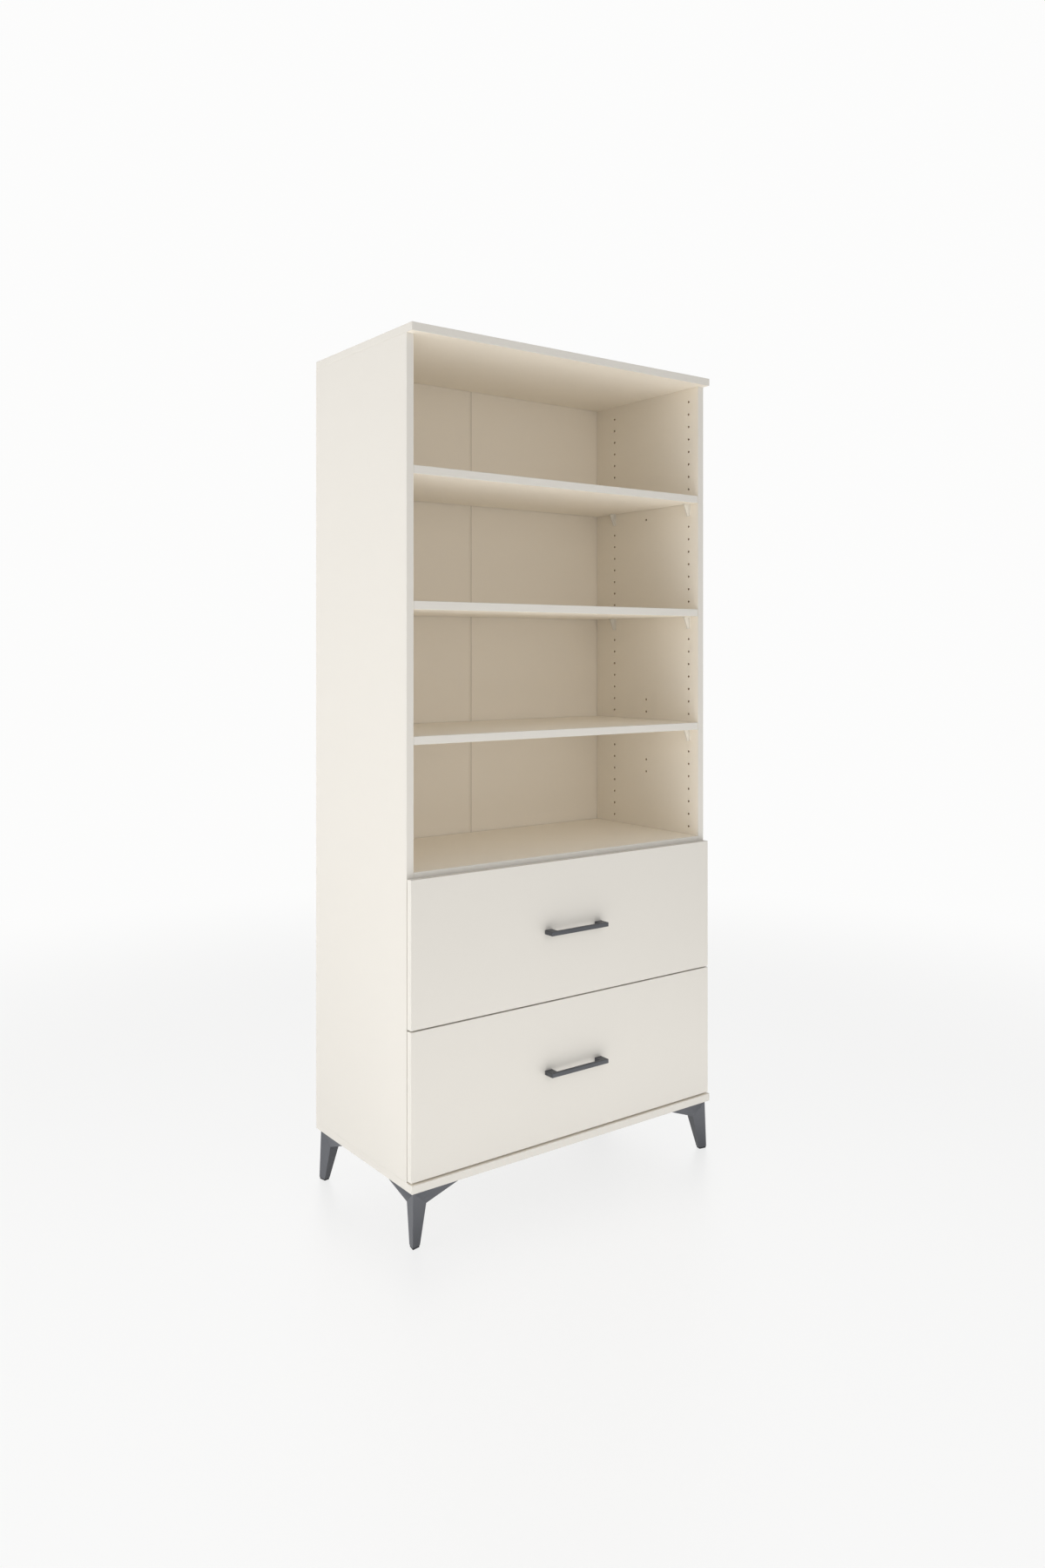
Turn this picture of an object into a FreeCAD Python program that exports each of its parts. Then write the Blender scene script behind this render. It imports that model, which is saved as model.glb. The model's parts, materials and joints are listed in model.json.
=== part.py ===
import FreeCAD, Part
import math
import os

from FreeCAD import Vector

# A tall free-standing bookcase of melamine-faced board, on splayed legs: four open compartments
# over two drawers. Millimetres. The floor is Z = 0, +X is to the right of someone facing the
# bookcase, and its front looks along -Y.

# Carcass boards: the top and bottom boards run over the full width and stand out in front of the sides
width = 880.0
body_height = 1830.0
side_depth = 416.0
board = 18.0
overhang = 22.0

# Back: two thin panels in a groove, joined by an H-shaped strip a little left of the middle
back_thickness = 3.0
back_inset = 15.5
groove_depth = 8.0
groove_play = 0.2
groove_end_play = 0.6
strip_offset = -6.0
strip_face = 10.0
strip_skin = 0.8
strip_web = 1.5
strip_play = 0.1

# Rows of holes for shelf supports, drilled in both sides
pin_pitch = 32.0
pin_hole_radius = 2.5
pin_hole_depth = 12.0
pin_front_setback = 34.5
pin_middle_setback = 194.5
pin_rear_setback = 75.0
pin_top_margin = 33.6
pin_bottom_margin = 10.0
middle_column_rows = (9, 24, 25, 29, 30)
compartments = 4

# Shelves
shelf_side_play = 0.5
shelf_front_setback = 1.0
shelf_rear_play = 1.0

# Shelf supports: an angle with a rib and a pin
support_rise = 25.6
support_reach = 17.0
support_width = 12.0
support_wall = 2.5
support_rib = 3.5
support_toe = 4.5
support_tail = 5.0
support_pin_length = 10.0
support_pin_play = 0.1

# Drawer fronts, which cover the edges of the sides
front_thickness = 16.0
front_height = 317.0
front_stand_off = 1.0
front_reveal = 3.0
front_side_reveal = 1.0
front_lip = 12.0

# Drawer boxes
drawer_board = 16.0
drawer_height = 220.0
drawer_lift = 30.0
drawer_rear_clearance = 38.0
drawer_bottom_thickness = 3.0
drawer_bottom_rise = 12.0

# Telescopic slides: three nested channels of bent sheet, whose lips hook behind each other, with races
# for two pairs of ball rows between their flanges
slide_height = 45.0
slide_width = 12.7
slide_metal = 1.2
slide_play = 0.4
slide_race = 3.2
slide_setback = 4.0
slide_rear_inset = 5.5
slide_rise = 80.0
slide_lip = 5.0
retainer_width = 4.5
retainer_play = 0.3
retainer_end_play = 2.5

# Handles: a flat bar on two posts
handle_length = 168.0
handle_height = 10.0
handle_projection = 27.5
handle_bar = 7.5
handle_post = 20.0
handle_chamfer = 0.8
handle_screw_radius = 2.0
handle_screw_head_radius = 4.0
handle_screw_head = 2.5
handle_screw_bite = 12.0

# Legs: a splayed column with an acute outer edge, two arms along the board's edges, a plate and a glide
leg_height = 120.0
leg_inset = 8.5
leg_splay = 2.8
leg_arm = 118.0
leg_plate = 3.0
leg_knee_drop = 34.0
leg_face = 37.2
leg_face_turn = 7.0
leg_core = 32.8
leg_foot_share = 0.55
leg_flange = 5.0
glide_height = 4.0
glide_share = 0.9
leg_screw_shares = ((0.66, 0.13), (0.13, 0.66), (0.38, 0.38))
leg_screw_length = 17.0
leg_screw_radius = 1.8
leg_screw_head_radius = 4.0
leg_screw_head = 2.4

# Long screws through one board into the end of another
screw_length = 50.0
screw_radius = 3.5
screw_head_radius = 5.0
screw_head = 4.0
screw_inset = 60.0
cap_radius = 6.0
cap_thickness = 1.5

# Dowels
dowel_radius = 4.0
dowel_length = 30.0
dowel_seat = 11.0
dowel_inset = 130.0
dowel_end_play = 0.5

# Eccentric fittings: a cam in one board draws in a bolt that is screwed into the other
cam_radius = 7.5
cam_cover = 3.5
cam_distance = 34.0
cam_inset = 70.0
cam_recess = 2.0
cam_recess_width = 1.6
cam_rim = 2.0
bolt_radius = 3.0
bolt_thread_radius = 2.5
bolt_thread_length = 11.0
bolt_shoulder = 0.5
drawer_cam_inset = 40.0

# Fits and cuts
fastener_play = 0.1
overrun = 1.0
small_round_sides = 6
pin_hole_sides = 8
cam_sides = 8

# Levels
bottom_top = leg_height + board
top_level = leg_height + body_height
top_under = top_level - board
lower_front_level = bottom_top + front_reveal
upper_front_level = lower_front_level + front_height + front_reveal
fixed_shelf_top = upper_front_level + front_height + front_lip
fixed_shelf_under = fixed_shelf_top - board

# Places across and along the depth
half_width = width / 2
inner_half = half_width - board
panel_middle = half_width - board / 2
overall_depth = side_depth + front_stand_off + front_thickness + handle_projection
rear = overall_depth / 2
front = rear - side_depth
board_front = front - overhang
back_rear = rear - back_inset
back_front = back_rear - back_thickness
shelf_rear = back_front - strip_play - strip_skin - shelf_rear_play
drawer_front_back = front - front_stand_off
drawer_face = drawer_front_back - front_thickness
drawer_rear = back_front - drawer_rear_clearance
drawer_half = inner_half - slide_width
drawer_inner_half = drawer_half - drawer_board
slide_front = front + slide_setback
slide_rear = drawer_rear - slide_rear_inset
slide_length = slide_rear - slide_front
slide_step = slide_metal + slide_play
slide_middle_half = slide_height / 2 - slide_metal - slide_race
slide_inner_half = slide_middle_half - slide_metal - slide_race

# Hole rows, counted down from the top, and the rows that carry the shelves
top_row_level = top_under - pin_top_margin
pin_rows = int((top_row_level - fixed_shelf_top - pin_bottom_margin) // pin_pitch) + 1
shelf_step = (pin_rows + 1) // compartments
shelf_rows = [shelf_step * (index + 1) for index in range(compartments - 1)]
pin_columns = (front + pin_front_setback, back_front - pin_rear_setback)
spare_row = shelf_step // 2

UP = Vector(0, 0, 1)
DOWN = Vector(0, 0, -1)
FORWARD = Vector(0, -1, 0)
BACKWARD = Vector(0, 1, 0)
HANDS = {"left": -1, "right": 1}
DRAWERS = {"upper": upper_front_level, "lower": lower_front_level}
SHELVES = ("upper", "middle", "lower")


def block(x_ends, y_ends, z_ends):
    """A box between pairs of coordinates, given in any order."""
    low = Vector(min(x_ends), min(y_ends), min(z_ends))
    high = Vector(max(x_ends), max(y_ends), max(z_ends))
    size = high - low
    return Part.makeBox(size.x, size.y, size.z, low)


def ring(centre, axis, radius, sides):
    """The corners of a polygon around an axis, whose flats touch the circle of that radius."""
    across = Vector(1, 0, 0) if abs(axis.z) > abs(axis.x) + abs(axis.y) else Vector(0, 0, 1)
    along = axis.cross(across)
    reach = radius / math.cos(math.pi / sides)
    points = []
    for index in range(sides):
        angle = 2 * math.pi * (index + 0.5) / sides
        points.append(centre + across * (reach * math.cos(angle)) + along * (reach * math.sin(angle)))
    return points


def facet(points):
    """A flat face through points in order."""
    return Part.Face(Part.makePolygon(points + points[:1]))


def faceted(outlines):
    """A solid with flat faces, one for each outline."""
    shell = Part.makeShell([facet(points) for points in outlines])
    shell.sewShape()
    body = Part.makeSolid(shell)
    if body.Volume < 0:
        body.reverse()
    return body


def turned(start, axis, stations, sides=small_round_sides):
    """A flat-sided turned piece: stations are (distance along the axis, radius) pairs."""
    rings = [ring(start + axis * distance, axis, radius, sides) for distance, radius in stations]
    outlines = [rings[0], rings[-1]]
    for lower, upper in zip(rings, rings[1:]):
        for index in range(sides):
            outlines.append([lower[index - 1], lower[index], upper[index], upper[index - 1]])
    return faceted(outlines)


def rod(start, axis, low, high, radius, sides=small_round_sides):
    """A straight rod or hole between two distances along an axis."""
    return turned(start, axis, [(low, radius), (high, radius)], sides)


def flush_screw(start, axis, length, radius, head_radius, head):
    """A countersunk screw, from the face of its head along its axis."""
    return turned(start, axis, [(0, head_radius), (head, radius), (length, radius)])


def flush_screw_hole(start, axis, length, radius, head_radius, head, reach=overrun):
    """The hole of a countersunk screw, open for some way in front of its head."""
    wide = head_radius + fastener_play
    narrow = radius + fastener_play
    return turned(start, axis, [(-reach, wide), (0, wide), (head, narrow), (length + fastener_play, narrow)])


def dowel(start, axis):
    """A dowel that crosses the face at start, seated the short way in the board behind it."""
    return rod(start, axis, -dowel_seat, dowel_length - dowel_seat, dowel_radius)


def dowel_hole(start, axis):
    """The hole of a dowel in both boards."""
    low = -dowel_seat - dowel_end_play
    high = dowel_length - dowel_seat + dowel_end_play
    return rod(start, axis, low, high, dowel_radius + fastener_play)


def cam_bolt(start, axis):
    """The bolt of an eccentric fitting: its thread behind the face at start, its shaft in front of it."""
    stations = [(-bolt_thread_length, bolt_thread_radius), (0, bolt_thread_radius)]
    stations += [(bolt_shoulder, bolt_radius), (cam_distance, bolt_radius)]
    return turned(start, axis, stations)


def cam_bolt_hole(start, axis):
    """The holes of the bolt in both boards."""
    thread = bolt_thread_radius + fastener_play
    shaft = bolt_radius + fastener_play
    stations = [(-bolt_thread_length - fastener_play, thread), (-bolt_shoulder, thread)]
    stations += [(0, shaft), (cam_distance, shaft)]
    return turned(start, axis, stations)


def cam(start, axis, face, thickness):
    """A cam whose slot takes the bolt: face points out of the board at the cam's slotted end."""
    mouth = start + axis * cam_distance + face * (thickness / 2)
    barrel = rod(mouth, face, cam_cover - thickness, 0, cam_radius, cam_sides)
    slot = rod(start, axis, 0, cam_distance + fastener_play, bolt_radius + fastener_play)
    across = axis.cross(face)
    half_slot = axis * (cam_recess_width / 2) + across * (cam_radius - cam_rim)
    corner = mouth - half_slot - face * cam_recess
    opposite = mouth + half_slot + face * overrun
    recess = block((corner.x, opposite.x), (corner.y, opposite.y), (corner.z, opposite.z))
    return barrel.cut([slot, recess])


def cam_hole(start, axis, face, thickness):
    """The hole of a cam, from the face of its board."""
    mouth = start + axis * cam_distance + face * (thickness / 2)
    depth = thickness - cam_cover + fastener_play
    return rod(mouth, face, -depth, overrun, cam_radius + fastener_play, cam_sides)


def row_level(row):
    """Height of a row of pin holes."""
    return top_row_level - row * pin_pitch


def pin_holes(hand):
    """All pin holes of one side. The row for a spare shelf is truly round, the rest are flat-sided."""
    out_of_bore = Vector(hand, 0, 0)
    face = hand * inner_half
    holes = []
    places = [(row, y) for row in range(pin_rows) for y in pin_columns]
    places += [(row, front + pin_middle_setback) for row in middle_column_rows if row < pin_rows]
    for row, y in places:
        start = Vector(face, y, row_level(row))
        if row == spare_row:
            mouth = start - out_of_bore * overrun
            holes.append(Part.makeCylinder(pin_hole_radius, pin_hole_depth + overrun, mouth, out_of_bore))
        else:
            holes.append(rod(start, out_of_bore, -overrun, pin_hole_depth, pin_hole_radius, pin_hole_sides))
    return holes


def groove(x_ends, z_ends):
    """A groove for the back panels."""
    return block(x_ends, (back_front - groove_play, back_rear + groove_play), z_ends)


def end_places(inset):
    """The two places along the depth of a board joint, at one inset from the front and rear of the sides."""
    return (front + inset, rear - inset)


def carcass_screw_starts():
    """Where the long screws start, with their ways: down through the top, up through the bottom."""
    starts = []
    for hand in HANDS.values():
        for y in end_places(screw_inset):
            starts.append((Vector(hand * panel_middle, y, top_level - cap_thickness), DOWN))
            starts.append((Vector(hand * panel_middle, y, leg_height), UP))
    return starts


def carcass_screw_holes():
    """Holes of the long screws, with the wider seats of their caps."""
    holes = []
    for start, axis in carcass_screw_starts():
        holes.append(flush_screw_hole(start, axis, screw_length, screw_radius, screw_head_radius, screw_head))
        if axis == DOWN:
            holes.append(rod(start, UP, 0, cap_thickness + overrun, cap_radius + fastener_play, cam_sides))
    return holes


def carcass_dowel_starts():
    """Where the dowels cross the joints of the carcass, pointing into the end of the board that they hold."""
    starts = []
    for hand in HANDS.values():
        shelf_level = fixed_shelf_top - board / 2
        for y in end_places(dowel_inset):
            starts.append((Vector(hand * panel_middle, y, top_under), DOWN))
            starts.append((Vector(hand * panel_middle, y, bottom_top), UP))
            starts.append((Vector(hand * inner_half, y, shelf_level), Vector(-hand, 0, 0)))
    return starts


def shelf_cam_starts():
    """Where the eccentric fittings of the fixed shelf cross the faces of the sides."""
    level = fixed_shelf_top - board / 2
    starts = []
    for hand in HANDS.values():
        for y in (front + cam_inset, shelf_rear - cam_inset):
            starts.append((Vector(hand * inner_half, y, level), Vector(-hand, 0, 0)))
    return starts


def drawer_level(front_level):
    """Lower edge of a drawer's box."""
    return front_level + drawer_lift


def slide_level(front_level):
    """Middle height of a drawer's slides."""
    return drawer_level(front_level) + slide_rise + slide_height / 2


def side_panel(hand):
    """A side of the carcass, with its pin holes, groove and the holes of its fittings."""
    panel = block((hand * half_width, hand * inner_half), (front, rear), (bottom_top, top_under))
    cuts = pin_holes(hand)
    groove_ends = (hand * (inner_half - overrun), hand * (inner_half + groove_depth))
    cuts.append(groove(groove_ends, (bottom_top - overrun, top_under + overrun)))
    cuts += carcass_screw_holes()
    cuts += [dowel_hole(start, axis) for start, axis in carcass_dowel_starts()]
    cuts += [cam_bolt_hole(start, axis) for start, axis in shelf_cam_starts()]
    return panel.cut(cuts)


def end_board(z_ends, groove_ends):
    """The top or bottom board, grooved for the back on its inner face."""
    slab = block((-half_width, half_width), (board_front, rear), z_ends)
    cuts = [groove((-inner_half - groove_depth, inner_half + groove_depth), groove_ends)]
    cuts += carcass_screw_holes()
    cuts += [dowel_hole(start, axis) for start, axis in carcass_dowel_starts()]
    return slab.cut(cuts)


def top_panel():
    """The top board."""
    return end_board((top_under, top_level), (top_under - overrun, top_under + groove_depth))


def bottom_panel():
    """The bottom board, which the legs are screwed to."""
    slab = end_board((leg_height, bottom_top), (bottom_top - groove_depth, bottom_top + overrun))
    return slab.cut([leg_screw_hole(start) for start in leg_screw_starts()])


def fixed_shelf():
    """The shelf over the drawers, held by dowels and eccentric fittings on its hidden underside."""
    slab = block((-inner_half, inner_half), (front, shelf_rear), (fixed_shelf_under, fixed_shelf_top))
    cuts = [dowel_hole(start, axis) for start, axis in carcass_dowel_starts()]
    for start, axis in shelf_cam_starts():
        cuts.append(cam_bolt_hole(start, axis))
        cuts.append(cam_hole(start, axis, DOWN, board))
    return slab.cut(cuts)


def shelf(row):
    """A loose shelf that lies on the supports of one row."""
    reach = inner_half - shelf_side_play
    under = row_level(row) + support_rise
    return block((-reach, reach), (front + shelf_front_setback, shelf_rear), (under, under + board))


def shelf_support(hand, y, level):
    """One shelf support: plates against the side and under the shelf, a rib between them, and a pin."""
    face = hand * inner_half
    seat = level + support_rise
    foot = level - support_tail
    y_ends = (y - support_width / 2, y + support_width / 2)
    wall = block((face, face - hand * support_wall), y_ends, (foot, seat))
    table = block((face, face - hand * support_reach), y_ends, (seat - support_wall, seat))
    outline = [(0, foot), (support_toe, foot), (support_reach, seat - support_wall), (0, seat - support_wall)]
    points = [Vector(face - hand * out, y - support_rib / 2, z) for out, z in outline]
    rib = facet(points).extrude(Vector(0, support_rib, 0))
    pin_radius = pin_hole_radius - support_pin_play
    pin = rod(Vector(face, y, level), Vector(hand, 0, 0), 0, support_pin_length, pin_radius, pin_hole_sides)
    return wall.fuse([table, rib, pin]).removeSplitter()


def shelf_supports():
    """Four supports under each loose shelf."""
    return [
        shelf_support(hand, y, row_level(row))
        for row in shelf_rows
        for hand in HANDS.values()
        for y in pin_columns
    ]


def back_panel(hand):
    """One half of the back, from the groove of its side to the joining strip."""
    outer = hand * (inner_half + groove_depth - groove_end_play)
    inner = strip_offset + hand * (strip_web / 2 + strip_play)
    low = bottom_top - groove_depth + groove_end_play
    high = top_under + groove_depth - groove_end_play
    return block((outer, inner), (back_front, back_rear), (low, high))


def back_joint_strip():
    """The H-shaped strip that joins the two halves of the back."""
    half_face = strip_face / 2
    y_ends = (back_front - strip_play - strip_skin, back_rear + strip_play + strip_skin)
    channel = (back_front - strip_play, back_rear + strip_play)
    z_ends = (bottom_top, top_under)
    strip = block((strip_offset - half_face, strip_offset + half_face), y_ends, z_ends)
    cut_levels = (bottom_top - overrun, top_under + overrun)
    cuts = []
    for hand in HANDS.values():
        inner = strip_offset + hand * strip_web / 2
        outer = strip_offset + hand * (half_face + overrun)
        cuts.append(block((inner, outer), channel, cut_levels))
    return strip.cut(cuts)


def leg_point(hand, way, along, inward, drop):
    """A point of a leg: along the board's front or rear edge, inward from it, and down from the board."""
    corner_x = hand * (half_width - leg_inset)
    corner_y = board_front + leg_inset if way > 0 else rear - leg_inset
    return Vector(corner_x - hand * along, corner_y + way * inward, leg_height - drop)


def leg_section(drop, section_share):
    """The kite-shaped section of a column as (along, inward, drop), from its outer edge round to it again."""
    foot_drop = leg_height - glide_height
    shift = -leg_splay * (drop - leg_plate) / (foot_drop - leg_plate)
    kite = ((0, 0), (leg_face, leg_face_turn), (leg_core, leg_core), (leg_face_turn, leg_face))
    return [(shift + a * section_share, shift + b * section_share, drop) for a, b in kite]


def leg(hand, way):
    """One moulded leg: plate, arms and column as flat facets, with wells for its screws."""
    plate = [(0, 0, 0), (leg_arm, 0, 0), (0, leg_arm, 0)]
    edge, arm_a, arm_b = [(a, b, leg_plate) for a, b, _ in plate]
    knee_a, knee_c, knee_b = leg_section(leg_knee_drop, 1)[1:]
    foot, foot_a, foot_c, foot_b = leg_section(leg_height - glide_height, leg_foot_share)
    outlines = [
        plate,
        [plate[0], plate[1], arm_a, edge],
        [plate[1], plate[2], arm_b, arm_a],
        [plate[2], plate[0], edge, arm_b],
        [edge, arm_a, knee_a],
        [edge, knee_b, arm_b],
        [arm_a, knee_c, knee_a],
        [arm_a, arm_b, knee_c],
        [arm_b, knee_b, knee_c],
        [edge, knee_a, foot_a, foot],
        [edge, foot, foot_b, knee_b],
        [knee_a, knee_c, foot_c, foot_a],
        [knee_c, knee_b, foot_b, foot_c],
        [foot, foot_a, foot_c, foot_b],
    ]
    body = faceted([[leg_point(hand, way, *place) for place in outline] for outline in outlines])
    wells = [leg_screw_hole(start, leg_height) for start in leg_screw_starts(hand, way)]
    return body.cut(wells)


def leg_screw_starts(only_hand=None, only_way=None):
    """Where the screws of the legs start, under the flange at the top of each leg."""
    starts = []
    for hand in HANDS.values():
        for way in (1, -1):
            if only_hand in (None, hand) and only_way in (None, way):
                for along_share, inward_share in leg_screw_shares:
                    along = leg_arm * along_share
                    starts.append(leg_point(hand, way, along, leg_arm * inward_share, leg_flange))
    return starts


def leg_screw_hole(start, reach=overrun):
    """The hole of a leg's screw, with its well below the head."""
    sizes = (leg_screw_length, leg_screw_radius, leg_screw_head_radius, leg_screw_head)
    return flush_screw_hole(start, UP, *sizes, reach)


def leg_screws():
    """All screws of the legs."""
    sizes = (leg_screw_length, leg_screw_radius, leg_screw_head_radius, leg_screw_head)
    return [flush_screw(start, UP, *sizes) for start in leg_screw_starts()]


def leg_glides():
    """The pads under the feet of the legs."""
    glides = []
    for hand in HANDS.values():
        for way in (1, -1):
            foot = leg_section(leg_height - glide_height, leg_foot_share)
            points = [leg_point(hand, way, *place) for place in foot]
            middle = (points[0] + points[2]) / 2
            points = [middle + (point - middle) * glide_share for point in points]
            glides.append(facet(points).extrude(DOWN * glide_height))
    return glides


def slide_member(hand, front_level, upper_half):
    """One member of a slide: upper_half is its outline above the middle, as (out from the side, up) pairs."""
    outline = upper_half + [(out, -up) for out, up in reversed(upper_half)]
    level = slide_level(front_level)
    points = [Vector(hand * (inner_half - out), slide_front, level + up) for out, up in outline]
    return facet(points).extrude(Vector(0, slide_length, 0))


def lipped_channel(near, far, half_height):
    """The upper half of a channel that stands with its web towards the side and has a lip at its far edge."""
    lip_edge = half_height - slide_lip
    inside = half_height - slide_metal
    lip = [(far, half_height), (far, lip_edge), (far - slide_metal, lip_edge), (far - slide_metal, inside)]
    return [(near, half_height)] + lip + [(near + slide_metal, inside)]


def slide_outer(hand, front_level):
    """The fixed member of a slide, on the side of the carcass."""
    return slide_member(hand, front_level, lipped_channel(0, slide_width - slide_metal, slide_height / 2))


def slide_middle(hand, front_level):
    """The member between the fixed one and the drawer's, which travels half as far as the drawer."""
    far = slide_width - slide_metal - slide_step
    return slide_member(hand, front_level, lipped_channel(slide_step, far, slide_middle_half))


def slide_inner(hand, front_level):
    """The drawer's member of a slide: a channel whose flanges step up behind the lips of the middle member."""
    near = 2 * slide_step
    step = slide_width - slide_metal - 2 * slide_step
    neck = slide_middle_half - slide_lip - slide_play
    crown = slide_width - slide_metal
    upper_half = [(slide_width, neck), (step, neck), (step, slide_inner_half), (near, slide_inner_half)]
    upper_half += [(near, slide_inner_half - slide_metal), (step - slide_metal, slide_inner_half - slide_metal)]
    upper_half += [(step - slide_metal, neck - slide_metal), (crown, neck - slide_metal)]
    return slide_member(hand, front_level, upper_half)


def ball_retainers(front_level, member_half):
    """The bars that hold the balls over and under one member of both slides of a drawer.

    They travel half as far as the members beside them move apart, and are short enough to stay between
    them when the drawer is out."""
    level = slide_level(front_level)
    middle = inner_half - (slide_width - slide_metal) / 2
    end_inset = slide_length / 4 + retainer_end_play
    y_ends = (slide_front + end_inset, slide_rear - end_inset)
    near, far = member_half + retainer_play, member_half + slide_race - retainer_play
    return [
        block(
            (hand * middle - retainer_width / 2, hand * middle + retainer_width / 2),
            y_ends,
            (level + way * near, level + way * far),
        )
        for hand in HANDS.values()
        for way in (1, -1)
    ]


def drawer_cam_starts(front_level):
    """Where the eccentric fittings cross the back of a drawer's front, with the way their cams face."""
    low = drawer_level(front_level)
    middle = drawer_half - drawer_board / 2
    return [
        (Vector(hand * middle, drawer_front_back, level), Vector(-hand, 0, 0))
        for hand in HANDS.values()
        for level in (low + drawer_cam_inset, low + drawer_height - drawer_cam_inset)
    ]


def drawer_dowel_starts(front_level):
    """Where the dowels cross the back of a drawer's front."""
    level = drawer_level(front_level) + drawer_height / 2
    middle = drawer_half - drawer_board / 2
    return [Vector(hand * middle, drawer_front_back, level) for hand in HANDS.values()]


def drawer_screw_starts(front_level):
    """Where the screws through a drawer's sides into its back start."""
    low = drawer_level(front_level)
    return [
        (Vector(hand * drawer_half, drawer_rear - drawer_board / 2, level), Vector(-hand, 0, 0))
        for hand in HANDS.values()
        for level in (low + drawer_cam_inset, low + drawer_height - drawer_cam_inset)
    ]


def drawer_screw_hole(start, axis):
    """The hole of a screw that holds a drawer's back."""
    return flush_screw_hole(start, axis, screw_length, screw_radius, screw_head_radius, screw_head)


def handle_level(front_level):
    """Middle height of a handle."""
    return front_level + front_height / 2


def handle_screw_starts(front_level):
    """Where the shanks of a handle's screws leave the back of the drawer's front."""
    spread = (handle_length - handle_post) / 2
    level = handle_level(front_level)
    return [Vector(hand * spread, drawer_front_back, level) for hand in HANDS.values()]


def handle_screw_hole(start):
    """The hole of a handle's screw in the front and the post."""
    depth = front_thickness + handle_screw_bite + fastener_play
    return rod(start, FORWARD, -overrun, depth, handle_screw_radius + fastener_play)


def handle_screw(start):
    """A handle's screw, with its head on the back of the drawer's front."""
    shank = rod(start, FORWARD, 0, front_thickness + handle_screw_bite, handle_screw_radius)
    head = rod(start, BACKWARD, 0, handle_screw_head, handle_screw_head_radius)
    return shank.fuse(head)


def drawer_bottom_space(front_level, play):
    """The space of a drawer's bottom, inset by a play: the panel itself, or with none of it the grooves."""
    low = drawer_level(front_level) + drawer_bottom_rise
    reach = drawer_inner_half + groove_depth - play
    y_ends = (drawer_front_back - groove_depth + play, drawer_rear - drawer_board + groove_depth - play)
    z_play = groove_play if play == 0 else 0
    return block((-reach, reach), y_ends, (low - z_play, low + drawer_bottom_thickness + z_play))


def drawer_front(front_level):
    """A drawer's front."""
    reach = half_width - front_side_reveal
    z_ends = (front_level, front_level + front_height)
    slab = block((-reach, reach), (drawer_face, drawer_front_back), z_ends)
    cuts = [drawer_bottom_space(front_level, 0)]
    cuts += [cam_bolt_hole(start, BACKWARD) for start, _ in drawer_cam_starts(front_level)]
    cuts += [dowel_hole(start, BACKWARD) for start in drawer_dowel_starts(front_level)]
    cuts += [handle_screw_hole(start) for start in handle_screw_starts(front_level)]
    return slab.cut(cuts)


def drawer_side(hand, front_level):
    """A side of a drawer's box."""
    low = drawer_level(front_level)
    x_ends = (hand * drawer_half, hand * drawer_inner_half)
    slab = block(x_ends, (drawer_front_back, drawer_rear), (low, low + drawer_height))
    cuts = [drawer_bottom_space(front_level, 0)]
    for start, face in drawer_cam_starts(front_level):
        cuts.append(cam_bolt_hole(start, BACKWARD))
        cuts.append(cam_hole(start, BACKWARD, face, drawer_board))
    cuts += [dowel_hole(start, BACKWARD) for start in drawer_dowel_starts(front_level)]
    cuts += [drawer_screw_hole(start, axis) for start, axis in drawer_screw_starts(front_level)]
    return slab.cut(cuts)


def drawer_back(front_level):
    """The back of a drawer's box, between its sides."""
    low = drawer_level(front_level)
    y_ends = (drawer_rear - drawer_board, drawer_rear)
    slab = block((-drawer_inner_half, drawer_inner_half), y_ends, (low, low + drawer_height))
    cuts = [drawer_bottom_space(front_level, 0)]
    cuts += [drawer_screw_hole(start, axis) for start, axis in drawer_screw_starts(front_level)]
    return slab.cut(cuts)


def handle(front_level):
    """A handle: a flat bar on two posts, with its outer edges broken."""
    level = handle_level(front_level)
    half_length = handle_length / 2
    outer = drawer_face - handle_projection
    z_ends = (level - handle_height / 2, level + handle_height / 2)
    body = block((-half_length, half_length), (outer, drawer_face), z_ends)
    edges = [edge for edge in body.Edges if any(vertex.Y < drawer_face for vertex in edge.Vertexes)]
    body = body.makeChamfer(handle_chamfer, edges)
    gap_reach = half_length - handle_post
    gap_levels = (z_ends[0] - overrun, z_ends[1] + overrun)
    gap = block((-gap_reach, gap_reach), (outer + handle_bar, drawer_face + overrun), gap_levels)
    return body.cut([gap] + [handle_screw_hole(start) for start in handle_screw_starts(front_level)])


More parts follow.
